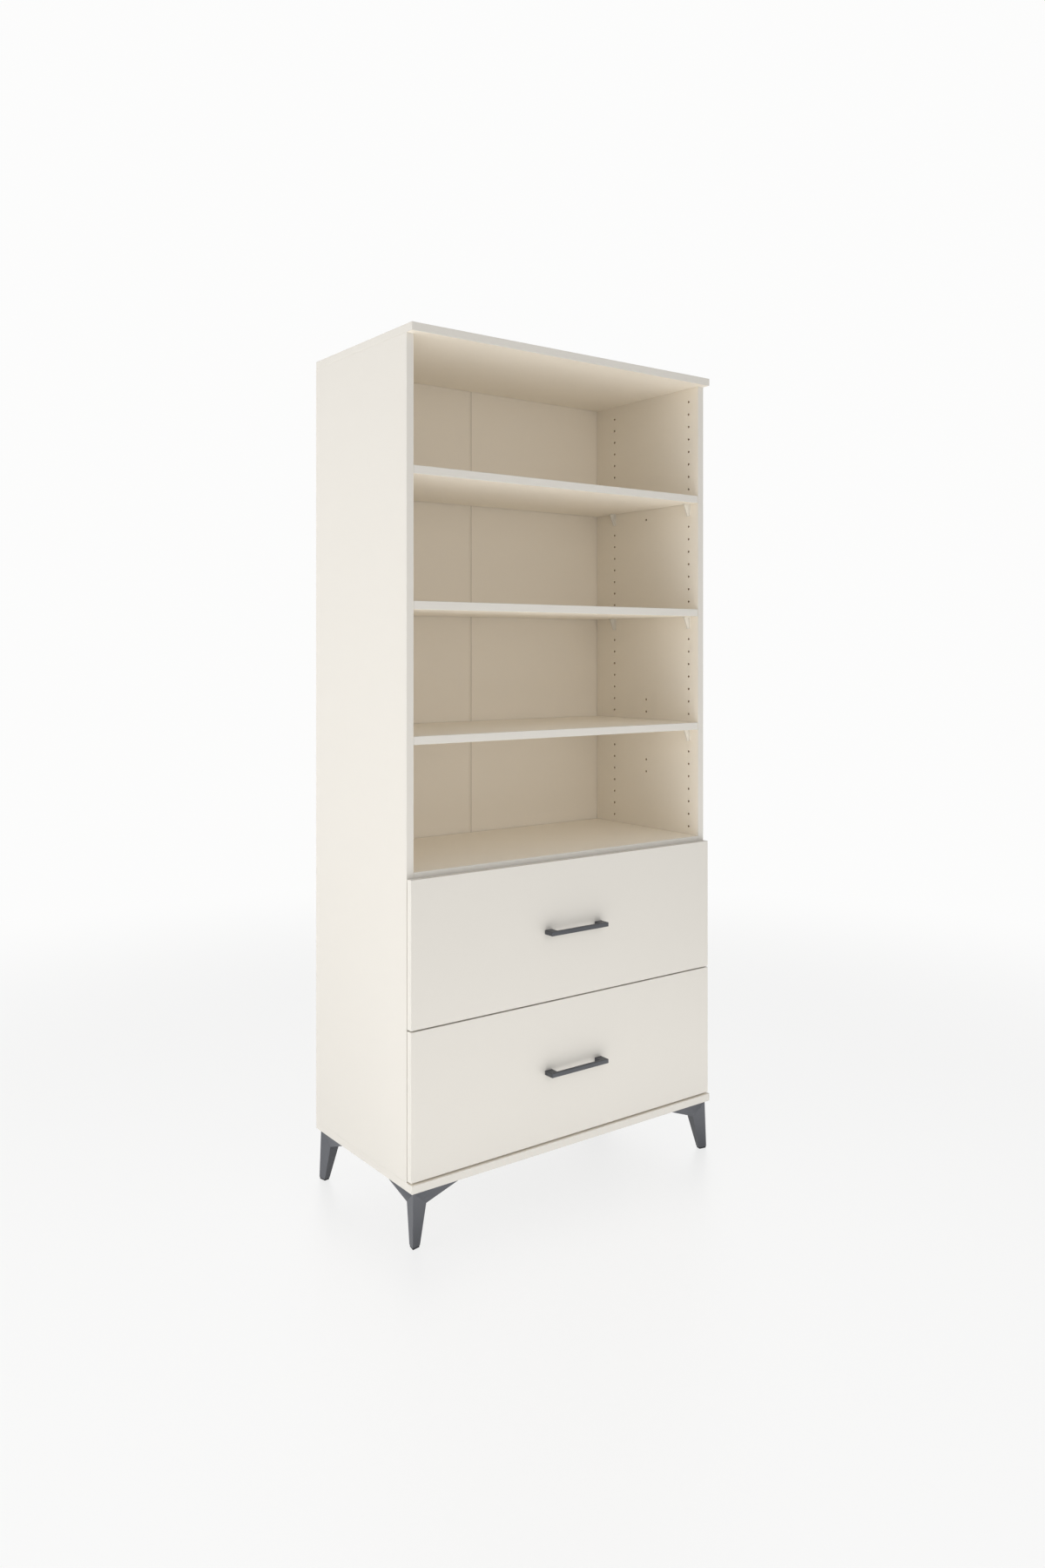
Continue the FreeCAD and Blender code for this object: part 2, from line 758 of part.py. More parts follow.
def carcass_nodes():
    """Every piece that stays still, by name."""
    nodes = {
        "top_panel": top_panel(),
        "bottom_panel": bottom_panel(),
        "fixed_shelf": fixed_shelf(),
        "shelf_supports": shelf_supports(),
        "back_joint_strip": back_joint_strip(),
        "leg_glides": leg_glides(),
        "leg_screws": leg_screws(),
    }
    for side, hand in HANDS.items():
        nodes["side_panel_" + side] = side_panel(hand)
        nodes["back_panel_" + side] = back_panel(hand)
        nodes["leg_front_" + side] = leg(hand, 1)
        nodes["leg_back_" + side] = leg(hand, -1)
    for name, row in zip(SHELVES, shelf_rows):
        nodes["shelf_" + name] = shelf(row)
    sizes = (screw_length, screw_radius, screw_head_radius, screw_head)
    starts = carcass_screw_starts()
    nodes["carcass_screws"] = [flush_screw(start, axis, *sizes) for start, axis in starts]
    nodes["screw_caps"] = [
        rod(start, UP, 0, cap_thickness, cap_radius, cam_sides) for start, axis in starts if axis == DOWN
    ]
    nodes["carcass_dowels"] = [dowel(start, axis) for start, axis in carcass_dowel_starts()]
    nodes["fixed_shelf_bolts"] = [cam_bolt(start, axis) for start, axis in shelf_cam_starts()]
    nodes["fixed_shelf_cams"] = [cam(start, axis, DOWN, board) for start, axis in shelf_cam_starts()]
    for name, front_level in DRAWERS.items():
        for side, hand in HANDS.items():
            nodes[name + "_slide_outer_" + side] = slide_outer(hand, front_level)
    return nodes


def drawer_nodes(name, front_level):
    """Every piece of one drawer and of the slide members that move with it, by name."""
    cams = drawer_cam_starts(front_level)
    sizes = (screw_length, screw_radius, screw_head_radius, screw_head)
    pieces = {
        "drawer_front": drawer_front(front_level),
        "drawer_back": drawer_back(front_level),
        "drawer_bottom": drawer_bottom_space(front_level, groove_end_play),
        "handle": handle(front_level),
        "handle_screws": [handle_screw(start) for start in handle_screw_starts(front_level)],
        "drawer_bolts": [cam_bolt(start, BACKWARD) for start, _ in cams],
        "drawer_cams": [cam(start, BACKWARD, face, drawer_board) for start, face in cams],
        "drawer_dowels": [dowel(start, BACKWARD) for start in drawer_dowel_starts(front_level)],
        "drawer_screws": [flush_screw(*start, *sizes) for start in drawer_screw_starts(front_level)],
        "slide_middles": [slide_middle(hand, front_level) for hand in HANDS.values()],
        "slide_outer_retainers": ball_retainers(front_level, slide_middle_half),
        "slide_inner_retainers": ball_retainers(front_level, slide_inner_half),
    }
    for side, hand in HANDS.items():
        pieces["drawer_side_" + side] = drawer_side(hand, front_level)
        pieces["slide_inner_" + side] = slide_inner(hand, front_level)
    return {name + "_" + piece: shape for piece, shape in pieces.items()}


def write_nodes(nodes):
    """One file for each node. A group of like pieces is written as separate solids in one file."""
    os.makedirs("parts", exist_ok=True)
    for name, shape in sorted(nodes.items()):
        if isinstance(shape, list):
            shape = Part.makeCompound(shape)
        shape.exportStep("parts/" + name + ".step")


all_nodes = carcass_nodes()
for drawer_name, drawer_front_level in DRAWERS.items():
    all_nodes.update(drawer_nodes(drawer_name, drawer_front_level))
write_nodes(all_nodes)
print(len(all_nodes), "nodes,", pin_rows, "pin rows, shelves on rows", shelf_rows)
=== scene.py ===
"""Finishes the bookcase and sets it on a plain pale floor in soft studio light."""

import json
import math

import bmesh
import bpy
from bmesh.types import BMEdge, BMFace, BMVert
from bpy.props import FloatProperty, FloatVectorProperty, IntProperty, PointerProperty
from mathutils import Matrix, Vector


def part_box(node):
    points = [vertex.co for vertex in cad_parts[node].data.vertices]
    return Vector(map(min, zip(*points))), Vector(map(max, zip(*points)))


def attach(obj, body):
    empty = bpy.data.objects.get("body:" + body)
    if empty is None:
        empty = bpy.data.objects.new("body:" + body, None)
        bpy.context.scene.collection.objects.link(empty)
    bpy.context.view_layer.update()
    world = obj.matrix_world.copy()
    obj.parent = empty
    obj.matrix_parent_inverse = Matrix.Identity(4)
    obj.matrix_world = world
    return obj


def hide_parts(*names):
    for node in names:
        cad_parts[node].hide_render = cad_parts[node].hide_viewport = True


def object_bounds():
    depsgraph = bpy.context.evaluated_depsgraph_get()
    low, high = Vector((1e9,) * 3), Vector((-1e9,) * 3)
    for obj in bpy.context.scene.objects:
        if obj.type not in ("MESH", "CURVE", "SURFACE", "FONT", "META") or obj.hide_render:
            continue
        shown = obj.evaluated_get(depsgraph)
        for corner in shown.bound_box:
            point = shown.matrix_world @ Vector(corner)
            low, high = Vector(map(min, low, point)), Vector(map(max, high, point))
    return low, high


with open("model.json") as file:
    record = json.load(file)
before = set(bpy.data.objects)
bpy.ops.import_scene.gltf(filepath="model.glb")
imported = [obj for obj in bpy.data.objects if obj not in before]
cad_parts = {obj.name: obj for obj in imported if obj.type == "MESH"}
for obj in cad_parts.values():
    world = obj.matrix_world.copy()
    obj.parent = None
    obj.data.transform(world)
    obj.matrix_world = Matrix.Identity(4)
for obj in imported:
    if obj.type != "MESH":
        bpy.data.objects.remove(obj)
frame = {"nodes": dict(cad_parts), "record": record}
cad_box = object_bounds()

bl_info = {
    "name": "Bookcase Finishes",
    "version": (1, 0, 0),
    "blender": (4, 5, 0),
    "location": "View3D > Sidebar > Bookcase",
    "description": "Rounds, drills and paints the pieces of a bookcase with drawers",
    "category": "Object",
}

MILLIMETRE = 0.001
MERGE_DISTANCE = 0.01 * MILLIMETRE
X, Y, Z = range(3)
UP = Vector((0, 0, 1))
BACKWARD = Vector((0, 1, 0))
HANDS = {"left": -1, "right": 1}
DRAWERS = ("upper", "lower")
LEG_CORNERS = ("front_left", "front_right", "back_left", "back_right")

# Levels in metres are rounded to so many digits where equal ones are counted once
LEVEL_DIGITS = 6

# Limits for flat and for sharp edges, and for faces that look one way or stand upright
FLAT_ANGLE = math.radians(0.5)
SHARP_ANGLE = math.radians(35)
LEG_SHARP_ANGLE = math.radians(12)
FACING_COSINE = 0.98
UPRIGHT_COSINE = 0.1

# Edges that are no longer than these stay sharp
SUPPORT_EDGE = 2.2 * MILLIMETRE
HANDLE_EDGE = 3 * MILLIMETRE
LEG_EDGE = 6 * MILLIMETRE
SLIDE_EDGE = 20 * MILLIMETRE

# Upright faces of a leg that are narrower than this are the walls of its screw wells
WELL_WIDTH = 6 * MILLIMETRE

# Rows of shelf-pin holes are counted from the top: the spare shelf's row, and those with a hole in the middle
SPARE_ROW = 4
MIDDLE_COLUMN_ROWS = (9, 24, 25, 29, 30)

# Facets of round and rounded shapes
ROUNDING_SEGMENTS = 3
SMALL_ROUNDING_SEGMENTS = 2
HOLE_SEGMENTS = 20
SCREW_SEGMENTS = 24
BALL_SEGMENTS = 10
BALL_RINGS = 6

# A fastener's head as a share of its length, and its neck and the reach of its cross as shares of its radius
LONG_SCREW = {"head_share": 0.08, "neck_share": 0.7, "cross_share": 0.55}
FLANGE_SCREW = {"head_share": 0.14, "neck_share": 0.45, "cross_share": 0.6}
HANDLE_SCREW = {"head_share": 0.08, "neck_share": 0.5, "cross_share": 0.6}
CAM = {"head_share": 0.1, "neck_share": 1, "cross_share": 0.65}
CROSS_WIDTH_SHARE = 0.4
CROSS_FLOOR_SHARE = 0.8

# Where the screws sit along an inner slide member, and the form of their pan heads
SLIDE_SCREW_SHARES = (0.1, 0.42, 0.86)
PAN_CROWN_SHARE = 0.5
PAN_RIM_SHARE = 1.15
PAN_CROSS_SHARE = 0.6

# Places of the materials on the boards and on the joining strip
# Inner faces take a melamine painted lighter and warmer, standing in for light bouncing in the compartments
PAINTED_BOUNCE_FACE, RAW_CORE = 1, 2
# The channel floor takes a plastic painted darker, standing in for the shade in the channel
PAINTED_SHADE_CHANNEL_FLOOR = 1

SENSOR_WIDTH = 36
LEVEL_TILT = math.radians(90)
FULL_SPREAD = math.pi
PURE_WHITE = (1, 1, 1, 1)


def millimetres(name, description, default):
    """A small size that a user can change, given in millimetres."""
    size = default * MILLIMETRE
    return FloatProperty(name=name, description=description, default=size, min=0, unit="LENGTH")


def metres(name, description, default):
    """A distance on the stage that a user can change, in metres."""
    return FloatProperty(name=name, description=description, default=default, min=0, unit="LENGTH")


def position(name, description, default):
    """A place on the stage that a user can change, in metres."""
    return FloatVectorProperty(name=name, description=description, default=default, subtype="XYZ")


def degrees(name, description, default):
    """An angle that a user can change, given in degrees."""
    angle = math.radians(default)
    return FloatProperty(name=name, description=description, default=angle, subtype="ANGLE")


def watts(name, description, default):
    """The power of a lamp, which a user can change."""
    return FloatProperty(name=name, description=description, default=default, min=0, unit="POWER")


def number(name, description, default, lowest=0):
    """A plain number that a user can change."""
    return FloatProperty(name=name, description=description, default=default, min=lowest)


def factor(name, description, default):
    """A share from 0 to 1 that a user can change."""
    return FloatProperty(name=name, description=description, default=default, min=0, max=1, subtype="FACTOR")


def paint(name, description, default):
    """A colour that a user can change."""
    return FloatVectorProperty(
        name=name, description=description, default=default, min=0, max=1, subtype="COLOR"
    )


class BookcaseSizes(bpy.types.PropertyGroup):
    """Small sizes that the finish adds to the boards and fittings."""

    band_radius: millimetres("Band Radius", "Rounding of the edges that carry an edge band", 1.0)
    trim_radius: millimetres("Trim Radius", "Rounding of the joining strip and the screw caps", 0.3)
    leg_radius: millimetres("Leg Radius", "Rounding of the moulded legs' edges", 0.9)
    handle_radius: millimetres("Handle Radius", "Rounding of the handles' edges", 0.35)
    sheet_radius: millimetres("Sheet Radius", "Rounding of the slides' sheet edges and ball bars", 0.35)
    plastic_radius: millimetres("Plastic Radius", "Rounding of the shelf supports and foot pads", 0.4)
    hole_radius: millimetres("Hole Radius", "Radius of a shelf-pin hole", 2.5)
    hole_rim: millimetres("Hole Rim", "Broken edge round a shelf-pin hole", 0.35)
    hole_depth: millimetres("Hole Depth", "Depth of a shelf-pin hole", 12.0)
    row_pitch: millimetres("Row Pitch", "Distance between rows of shelf-pin holes", 32.0)
    row_count: IntProperty(name="Rows", description="Rows of shelf-pin holes", default=35, min=1)
    cell_width: millimetres("Cell Width", "Width of the strip of panel that is drilled", 16.0)
    middle_column: millimetres("Middle Column", "Distance of the middle column behind the front one", 160.0)
    groove_play: millimetres("Groove Play", "Gap between the back panels and the front of their grooves", 0.9)
    panel_play: millimetres("Panel Play", "Gap beside and behind the back panels in the side grooves", 0.3)
    channel_width: millimetres("Channel Width", "Width of the channel down the joining strip", 4.4)
    channel_depth: millimetres("Channel Depth", "Depth of the channel down the joining strip", 0.4)
    head_stand: millimetres("Head Stand", "How far the heads of fasteners stand out of their boards", 0.15)
    cross_depth: millimetres("Cross Depth", "Depth of a cross recess", 1.6)
    sheet_metal: millimetres("Sheet Metal", "Thickness of the slides' sheet", 1.2)
    ball_radius: millimetres("Ball Radius", "Radius of the balls in the slides", 1.55)
    ball_pitch: millimetres("Ball Pitch", "Distance between the balls in the slides", 14.0)
    slide_screw_radius: millimetres("Slide Screw", "Radius at the crown of the slide screws' heads", 3.4)
    slide_screw_head: millimetres("Slide Screw Head", "Height of the slide screws' heads", 1.8)


class BookcaseColours(bpy.types.PropertyGroup):
    """Base colours of the finishes."""

    melamine: paint("Melamine", "Outer faces and bands of the boards", (0.692, 0.662, 0.608))
    # Painted light: a lighter, warmer copy of the melamine for the inner faces, standing in for light
    # bouncing in the compartments
    painted_bounce_melamine: paint("Inner Melamine", "Faces that look into the compartments", (0.905, 0.838, 0.728))
    drawer_melamine: paint("Drawer Melamine", "Boards of the drawer boxes", (0.80, 0.755, 0.68))
    # Partly painted light: the panels' face is partly the foil's own tone and partly painted lighter and
    # warmer like the inner melamine, for bounce light in the compartments
    back_face: paint("Back Face", "Front side of the thin panels", (0.822, 0.749, 0.637))
    fibre: paint("Fibre", "Bare rear side of the thin panels", (0.36, 0.245, 0.145))
    chips: paint("Chips", "Bare core of a board", (0.42, 0.31, 0.20))
    pale_plastic: paint("Pale Plastic", "Shelf supports and caps", (0.76, 0.72, 0.645))
    # The strip's tan follows the back face, with the same painted bounce light
    strip: paint("Strip", "Plastic strip that joins the back panels", (0.83, 0.757, 0.645))
    # Painted shade: the channel's colour is darker to stand in for the shade in the recess
    channel: paint("Channel", "Channel down the middle of the strip", (0.66, 0.595, 0.50))
    retainer: paint("Retainer", "Bars that hold the balls of the slides", (0.50, 0.50, 0.48))
    leg: paint("Leg", "Moulded legs", (0.086, 0.090, 0.102))
    glide: paint("Glide", "Pads under the legs", (0.035, 0.036, 0.04))
    handle: paint("Handle", "Powder coat of the handles", (0.049, 0.052, 0.060))
    zinc: paint("Zinc", "Zinc-plated sheet and screws", (0.62, 0.63, 0.645))
    die_cast: paint("Die Cast", "Cams", (0.50, 0.50, 0.505))
    beech: paint("Beech", "Dowels", (0.60, 0.43, 0.27))
    floor: paint("Floor", "Floor near the bookcase", (0.93, 0.93, 0.925))
    background: paint("Background", "White behind the floor", (0.975, 0.975, 0.972))


class BookcaseStage(bpy.types.PropertyGroup):
    """Camera, floor and light."""

    camera_place: position("Camera Place", "Where the camera stands", (-1.737, -2.3391, 1.2569))
    camera_turn: degrees("Camera Turn", "Turn of the camera about the vertical", -36.65)
    lens: FloatProperty(
        name="Lens", description=f"Focal length on a sensor {SENSOR_WIDTH} mm wide", default=27.25,
        subtype="DISTANCE_CAMERA",
    )
    shift: number("Shift", "Vertical shift of the lens", -0.0841, lowest=-1)
    floor_reach: metres("Floor Reach", "Half the width of the floor", 9.0)
    fade_start: metres("Fade Start", "Where the floor starts to fade into the background", 1.3)
    fade_end: metres("Fade End", "Where the floor has become the background", 3.6)
    floor_glow: factor("Floor Glow", "Share of even white in the floor that the camera sees", 0.93)
    floor_gloss: number("Floor Gloss", "Index of refraction of the floor's sheen", 1.5)
    floor_roughness: factor("Floor Roughness", "Roughness of the floor's sheen", 0.38)
    sky: number("Sky", "Strength of the light from straight overhead", 0.50)
    horizon: number("Horizon", "Strength of the light from all round", 0.43)
    key: watts("Key", "Power of the large light on the left", 74.5)
    key_place: position("Key Place", "Where the light on the left hangs", (-3.6, 0.45, 1.25))
    key_size: metres("Key Size", "Width of the light on the left", 2.6)
    top: watts("Top Light", "Power of the narrow light on the top board", 0.6)
    top_place: position("Top Light Place", "Where the light on the top board hangs", (0.0, 0.02, 2.4))
    top_size: metres("Top Light Width", "Width of the light on the top board", 0.86)
    top_depth: metres("Top Light Depth", "Depth of the light on the top board", 0.42)
    top_spread: degrees("Top Light Spread", "How widely the light on the top board spreads", 20)
    near: watts("Near Floor", "Power of the light from the floor just in front", 24.7)
    near_place: position("Near Floor Place", "Middle of the light just in front", (-0.1, -1.75, 0.01))
    near_size: metres("Near Floor Size", "Width of the light just in front", 2.9)
    far: watts("Far Floor", "Power of the light from the floor farther in front", 36.9)
    far_place: position("Far Floor Place", "Middle of the light farther in front", (-0.2, -4.8, 0.01))
    far_size: metres("Far Floor Size", "Width of the light farther in front", 3.0)
    front: watts("Front", "Power of the high light in front", 32.7)
    front_place: position("Front Place", "Where the high light in front hangs", (-0.5, -4.5, 2.4))
    front_size: metres("Front Size", "Width of the high light in front", 2.4)


def sizes():
    """The user's sizes."""
    return bpy.context.scene.bookcase_sizes


def colours():
    """The user's colours."""
    return bpy.context.scene.bookcase_colours


# Shader node groups

GRAIN_INPUTS = {
    "Color": ("NodeSocketColor", (0.8, 0.8, 0.8, 1)),
    "Tone": ("NodeSocketFloat", 0.03),
    "Scale": ("NodeSocketFloat", 700.0),
    "Roughness": ("NodeSocketFloat", 0.5),
    "Spread": ("NodeSocketFloat", 0.1),
}
GRAIN_OUTPUTS = {"Color": "NodeSocketColor", "Roughness": "NodeSocketFloat", "Height": "NodeSocketFloat"}

# Detail of the noises, the scale of broad drifts against fine grain, and the middle of a pattern from 0 to 1
BROAD_DETAIL, FINE_DETAIL, LINE_DETAIL, CRUMB_DETAIL = 2, 3, 4, 5
BROAD_SHARE = 0.006
HALF = 0.5

# Streaks run along the depth
STREAK_STRETCH = (1.0, 0.02, 1.0)


def new_group(name):
    """An empty node group with the sockets that all finishes share, and its input and output nodes."""
    tree = bpy.data.node_groups.new(name, "ShaderNodeTree")
    for socket, (kind, default) in GRAIN_INPUTS.items():
        made = tree.interface.new_socket(socket, in_out="INPUT", socket_type=kind)
        made.default_value = default
    for socket, kind in GRAIN_OUTPUTS.items():
        tree.interface.new_socket(socket, in_out="OUTPUT", socket_type=kind)
    return tree, tree.nodes.new("NodeGroupInput"), tree.nodes.new("NodeGroupOutput")


def object_coordinates(tree):
    """The piece's own coordinates."""
    return tree.nodes.new("ShaderNodeTexCoord").outputs["Object"]


def math_node(tree, operation, *values):
    """A math node whose inputs are numbers or sockets."""
    node = tree.nodes.new("ShaderNodeMath")
    node.operation = operation
    for socket, value in zip(node.inputs, values):
        if isinstance(value, bpy.types.NodeSocket):
            tree.links.new(value, socket)
        else:
            socket.default_value = value
    return node.outputs[0]


def mean_node(tree, first, second):
    """The mean of two patterns."""
    return math_node(tree, "MULTIPLY", math_node(tree, "ADD", first, second), HALF)


def noise_node(tree, vector, scale, detail):
    """A noise from 0 to 1."""
    node = tree.nodes.new("ShaderNodeTexNoise")
    node.inputs["Detail"].default_value = detail
    tree.links.new(vector, node.inputs["Vector"])
    tree.links.new(scale, node.inputs["Scale"])
    return node.outputs["Fac"]


def toned(tree, base, change):
    """A colour made lighter or darker by a signed change."""
    node = tree.nodes.new("ShaderNodeHueSaturation")
    tree.links.new(base, node.inputs["Color"])
    tree.links.new(math_node(tree, "ADD", change, 1.0), node.inputs["Value"])
    return node.outputs["Color"]


def end_group(tree, given, out, pattern, height):
    """Lets a pattern sway a group's tone and roughness, and a height give its relief."""
    centred = math_node(tree, "SUBTRACT", pattern, HALF)
    change = math_node(tree, "MULTIPLY", centred, given.outputs["Tone"])
    rough = math_node(tree, "MULTIPLY_ADD", centred, given.outputs["Spread"], given.outputs["Roughness"])
    tree.links.new(toned(tree, given.outputs["Color"], change), out.inputs["Color"])
    tree.links.new(rough, out.inputs["Roughness"])
    tree.links.new(height, out.inputs["Height"])
    return tree


def fine_grain_group():
    """Pressed or moulded grain: a fine texture over slow drifts of tone and sheen."""
    tree, given, out = new_group("Fine Grain")
    vector = object_coordinates(tree)
    fine = noise_node(tree, vector, given.outputs["Scale"], FINE_DETAIL)
    broad_scale = math_node(tree, "MULTIPLY", given.outputs["Scale"], BROAD_SHARE)
    broad = noise_node(tree, vector, broad_scale, BROAD_DETAIL)
    return end_group(tree, given, out, pattern=mean_node(tree, fine, broad), height=fine)


def streaks_group():
    """Rolling or growth lines."""
    tree, given, out = new_group("Streaks")
    stretch = tree.nodes.new("ShaderNodeMapping")
    stretch.inputs["Scale"].default_value = STREAK_STRETCH
    tree.links.new(object_coordinates(tree), stretch.inputs["Vector"])
    lines = noise_node(tree, stretch.outputs["Vector"], given.outputs["Scale"], LINE_DETAIL)
    return end_group(tree, given, out, pattern=lines, height=lines)


def chips_group():
    """Pressed wood chips or fibres: cells of differing tone with a crumbly surface."""
    tree, given, out = new_group("Wood Chips")
    vector = object_coordinates(tree)
    cells = tree.nodes.new("ShaderNodeTexVoronoi")
    tree.links.new(vector, cells.inputs["Vector"])
    tree.links.new(given.outputs["Scale"], cells.inputs["Scale"])
    split = tree.nodes.new("ShaderNodeSeparateColor")
    tree.links.new(cells.outputs["Color"], split.inputs["Color"])
    crumbs = noise_node(tree, vector, given.outputs["Scale"], CRUMB_DETAIL)
    both = mean_node(tree, split.outputs["Red"], crumbs)
    return end_group(tree, given, out, pattern=both, height=both)


GROUP_MAKERS = {"Fine Grain": fine_grain_group, "Streaks": streaks_group, "Wood Chips": chips_group}


def placed_group(tree, group, base, grain):
    """A shared node group in a material, with that material's own colour and values."""
    node = tree.nodes.new("ShaderNodeGroup")
    node.node_tree = bpy.data.node_groups.get(group) or GROUP_MAKERS[group]()
    node.inputs["Color"].default_value = (*base, 1)
    for socket, value in grain.items():
        node.inputs[socket].default_value = value
    return node


# Keeps the finishes apart from the plain materials that the CAD pieces bring along
FINISH_ENDING = "_finish"
RELIEF_STRENGTH = 0.6


def finish(name, group, base, grain, relief, metallic=0.0):
    """A material whose colour, roughness and relief come from one shared group."""
    material = bpy.data.materials.get(name + FINISH_ENDING)
    if material:
        return material
    material = bpy.data.materials.new(name + FINISH_ENDING)
    material.use_nodes = True
    tree = material.node_tree
    shader = tree.nodes["Principled BSDF"]
    shader.inputs["Metallic"].default_value = metallic
    placed = placed_group(tree, group, base, grain)
    tree.links.new(placed.outputs["Color"], shader.inputs["Base Color"])
    tree.links.new(placed.outputs["Roughness"], shader.inputs["Roughness"])
    bump = tree.nodes.new("ShaderNodeBump")
    bump.inputs["Strength"].default_value = RELIEF_STRENGTH
    bump.inputs["Distance"].default_value = relief
    tree.links.new(placed.outputs["Height"], bump.inputs["Height"])
    tree.links.new(bump.outputs["Normal"], shader.inputs["Normal"])
    return material


# Finishes

PRESSED_GRAIN = {"Tone": 0.02, "Scale": 650, "Roughness": 0.5, "Spread": 0.16}
MOULDED_GRAIN = {"Tone": 0.015, "Scale": 1500, "Spread": 0.1}
PRESSED_RELIEF = 0.03 * MILLIMETRE
SMOOTH_RELIEF = 0.01 * MILLIMETRE
SPARK_RELIEF = 0.04 * MILLIMETRE
RUBBER_RELIEF = 0.05 * MILLIMETRE
CHIP_RELIEF = 0.4 * MILLIMETRE


def melamine():
    """Matt cream melamine with a fine pressed grain."""
    return finish("melamine", "Fine Grain", colours().melamine, PRESSED_GRAIN, PRESSED_RELIEF)


def painted_bounce_melamine():
    """The same melamine on the faces inside the compartments, painted lighter and warmer as the light that
    bounces inside them.
    """
    return finish("painted_bounce_melamine", "Fine Grain", colours().painted_bounce_melamine, PRESSED_GRAIN, PRESSED_RELIEF)


def drawer_melamine():
    """Melamine of the drawer boxes."""
    return finish("drawer_melamine", "Fine Grain", colours().drawer_melamine, PRESSED_GRAIN, PRESSED_RELIEF)


def chip_core():
    """Bare particle board, seen in drilled holes and on rear edges."""
    grain = {"Tone": 0.7, "Scale": 900, "Roughness": 0.85, "Spread": 0.1}
    return finish("chip_core", "Wood Chips", colours().chips, grain, CHIP_RELIEF)


def pale_plastic():
    """Moulded cream plastic."""
    grain = {**MOULDED_GRAIN, "Roughness": 0.38}
    return finish("pale_plastic", "Fine Grain", colours().pale_plastic, grain, SMOOTH_RELIEF)


def strip_plastic():
    """Extruded plastic of the back's joining strip."""
    grain = {**MOULDED_GRAIN, "Roughness": 0.45}
    return finish("strip_plastic", "Fine Grain", colours().strip, grain, SMOOTH_RELIEF)


def painted_shade_channel_plastic():
    """The same strip down its channel, painted darker as the shade in the recess."""
    grain = {**MOULDED_GRAIN, "Roughness": 0.6}
    return finish("painted_shade_channel_plastic", "Fine Grain", colours().channel, grain, SMOOTH_RELIEF)


def leg_plastic():
    """Anthracite moulded plastic with a fine spark texture."""
    grain = {"Tone": 0.1, "Scale": 1400, "Roughness": 0.5, "Spread": 0.16}
    return finish("leg_plastic", "Fine Grain", colours().leg, grain, SPARK_RELIEF)


def glide_rubber():
    """Dark pad under a leg."""
    grain = {"Tone": 0.1, "Scale": 900, "Roughness": 0.8, "Spread": 0.1}
    return finish("glide_rubber", "Fine Grain", colours().glide, grain, RUBBER_RELIEF)


def handle_coat():
    """Anthracite powder coat."""
    grain = {"Tone": 0.12, "Scale": 1800, "Roughness": 0.45, "Spread": 0.16}
    return finish("handle_coat", "Fine Grain", colours().handle, grain, SPARK_RELIEF)


def retainer_plastic():
    """Grey moulded plastic of the ball bars."""
    grain = {"Tone": 0.05, "Scale": 1600, "Roughness": 0.5, "Spread": 0.1}
    return finish("retainer_plastic", "Fine Grain", colours().retainer, grain, SMOOTH_RELIEF)


def zinc_sheet():
    """Zinc-plated sheet steel with rolling lines."""
    grain = {"Tone": 0.16, "Scale": 500, "Roughness": 0.32, "Spread": 0.25}
    return finish("zinc_sheet", "Streaks", colours().zinc, grain, SMOOTH_RELIEF, metallic=1.0)


def zinc_screw():
    """Zinc-plated screw steel."""
    grain = {"Tone": 0.12, "Scale": 900, "Roughness": 0.34, "Spread": 0.2}
    return finish("zinc_screw", "Fine Grain", colours().zinc, grain, SMOOTH_RELIEF, metallic=1.0)


def die_cast():
    """Grainy die-cast metal."""
    grain = {"Tone": 0.2, "Scale": 1200, "Roughness": 0.48, "Spread": 0.2}
    return finish("die_cast", "Fine Grain", colours().die_cast, grain, PRESSED_RELIEF, metallic=1.0)


def beech():
    """Pale dowel wood."""
    grain = {"Tone": 0.35, "Scale": 900, "Roughness": 0.6, "Spread": 0.1}
    return finish("beech", "Streaks", colours().beech, grain, PRESSED_RELIEF)


# Sockets of a mix node that is set to colours
MIX_FACTOR, MIX_FIRST_COLOUR, MIX_SECOND_COLOUR, MIX_COLOUR = 0, 6, 7, 2

PANEL_GRAIN = {"Tone": 0.025, "Scale": 500, "Roughness": 0.55, "Spread": 0.12}
FIBRE_GRAIN = {"Tone": 0.5, "Scale": 1100}


def thin_panel(name, face_axis, middle):
    """A thin panel with a cream face on one side of its middle and bare fibreboard on the other.

    face_axis is Y for a panel whose face looks forward, or Z for one whose face looks up."""
    material = bpy.data.materials.get(name + FINISH_ENDING)
    if material:
        return material
    material = finish(name, "Fine Grain", colours().back_face, PANEL_GRAIN, PRESSED_RELIEF)
    tree = material.node_tree
    shader = tree.nodes["Principled BSDF"]
    face = shader.inputs["Base Color"].links[0].from_socket
    bare = placed_group(tree, "Wood Chips", colours().fibre, FIBRE_GRAIN)
    split = tree.nodes.new("ShaderNodeSeparateXYZ")
    tree.links.new(object_coordinates(tree), split.inputs["Vector"])
    bare_side = "GREATER_THAN" if face_axis == Y else "LESS_THAN"
    mix = tree.nodes.new("ShaderNodeMix")
    mix.data_type = "RGBA"
    tree.links.new(math_node(tree, bare_side, split.outputs[face_axis], middle), mix.inputs[MIX_FACTOR])
    tree.links.new(face, mix.inputs[MIX_FIRST_COLOUR])
    tree.links.new(bare.outputs["Color"], mix.inputs[MIX_SECOND_COLOUR])
    tree.links.new(mix.outputs[MIX_COLOUR], shader.inputs["Base Color"])
    return material


# Modelling


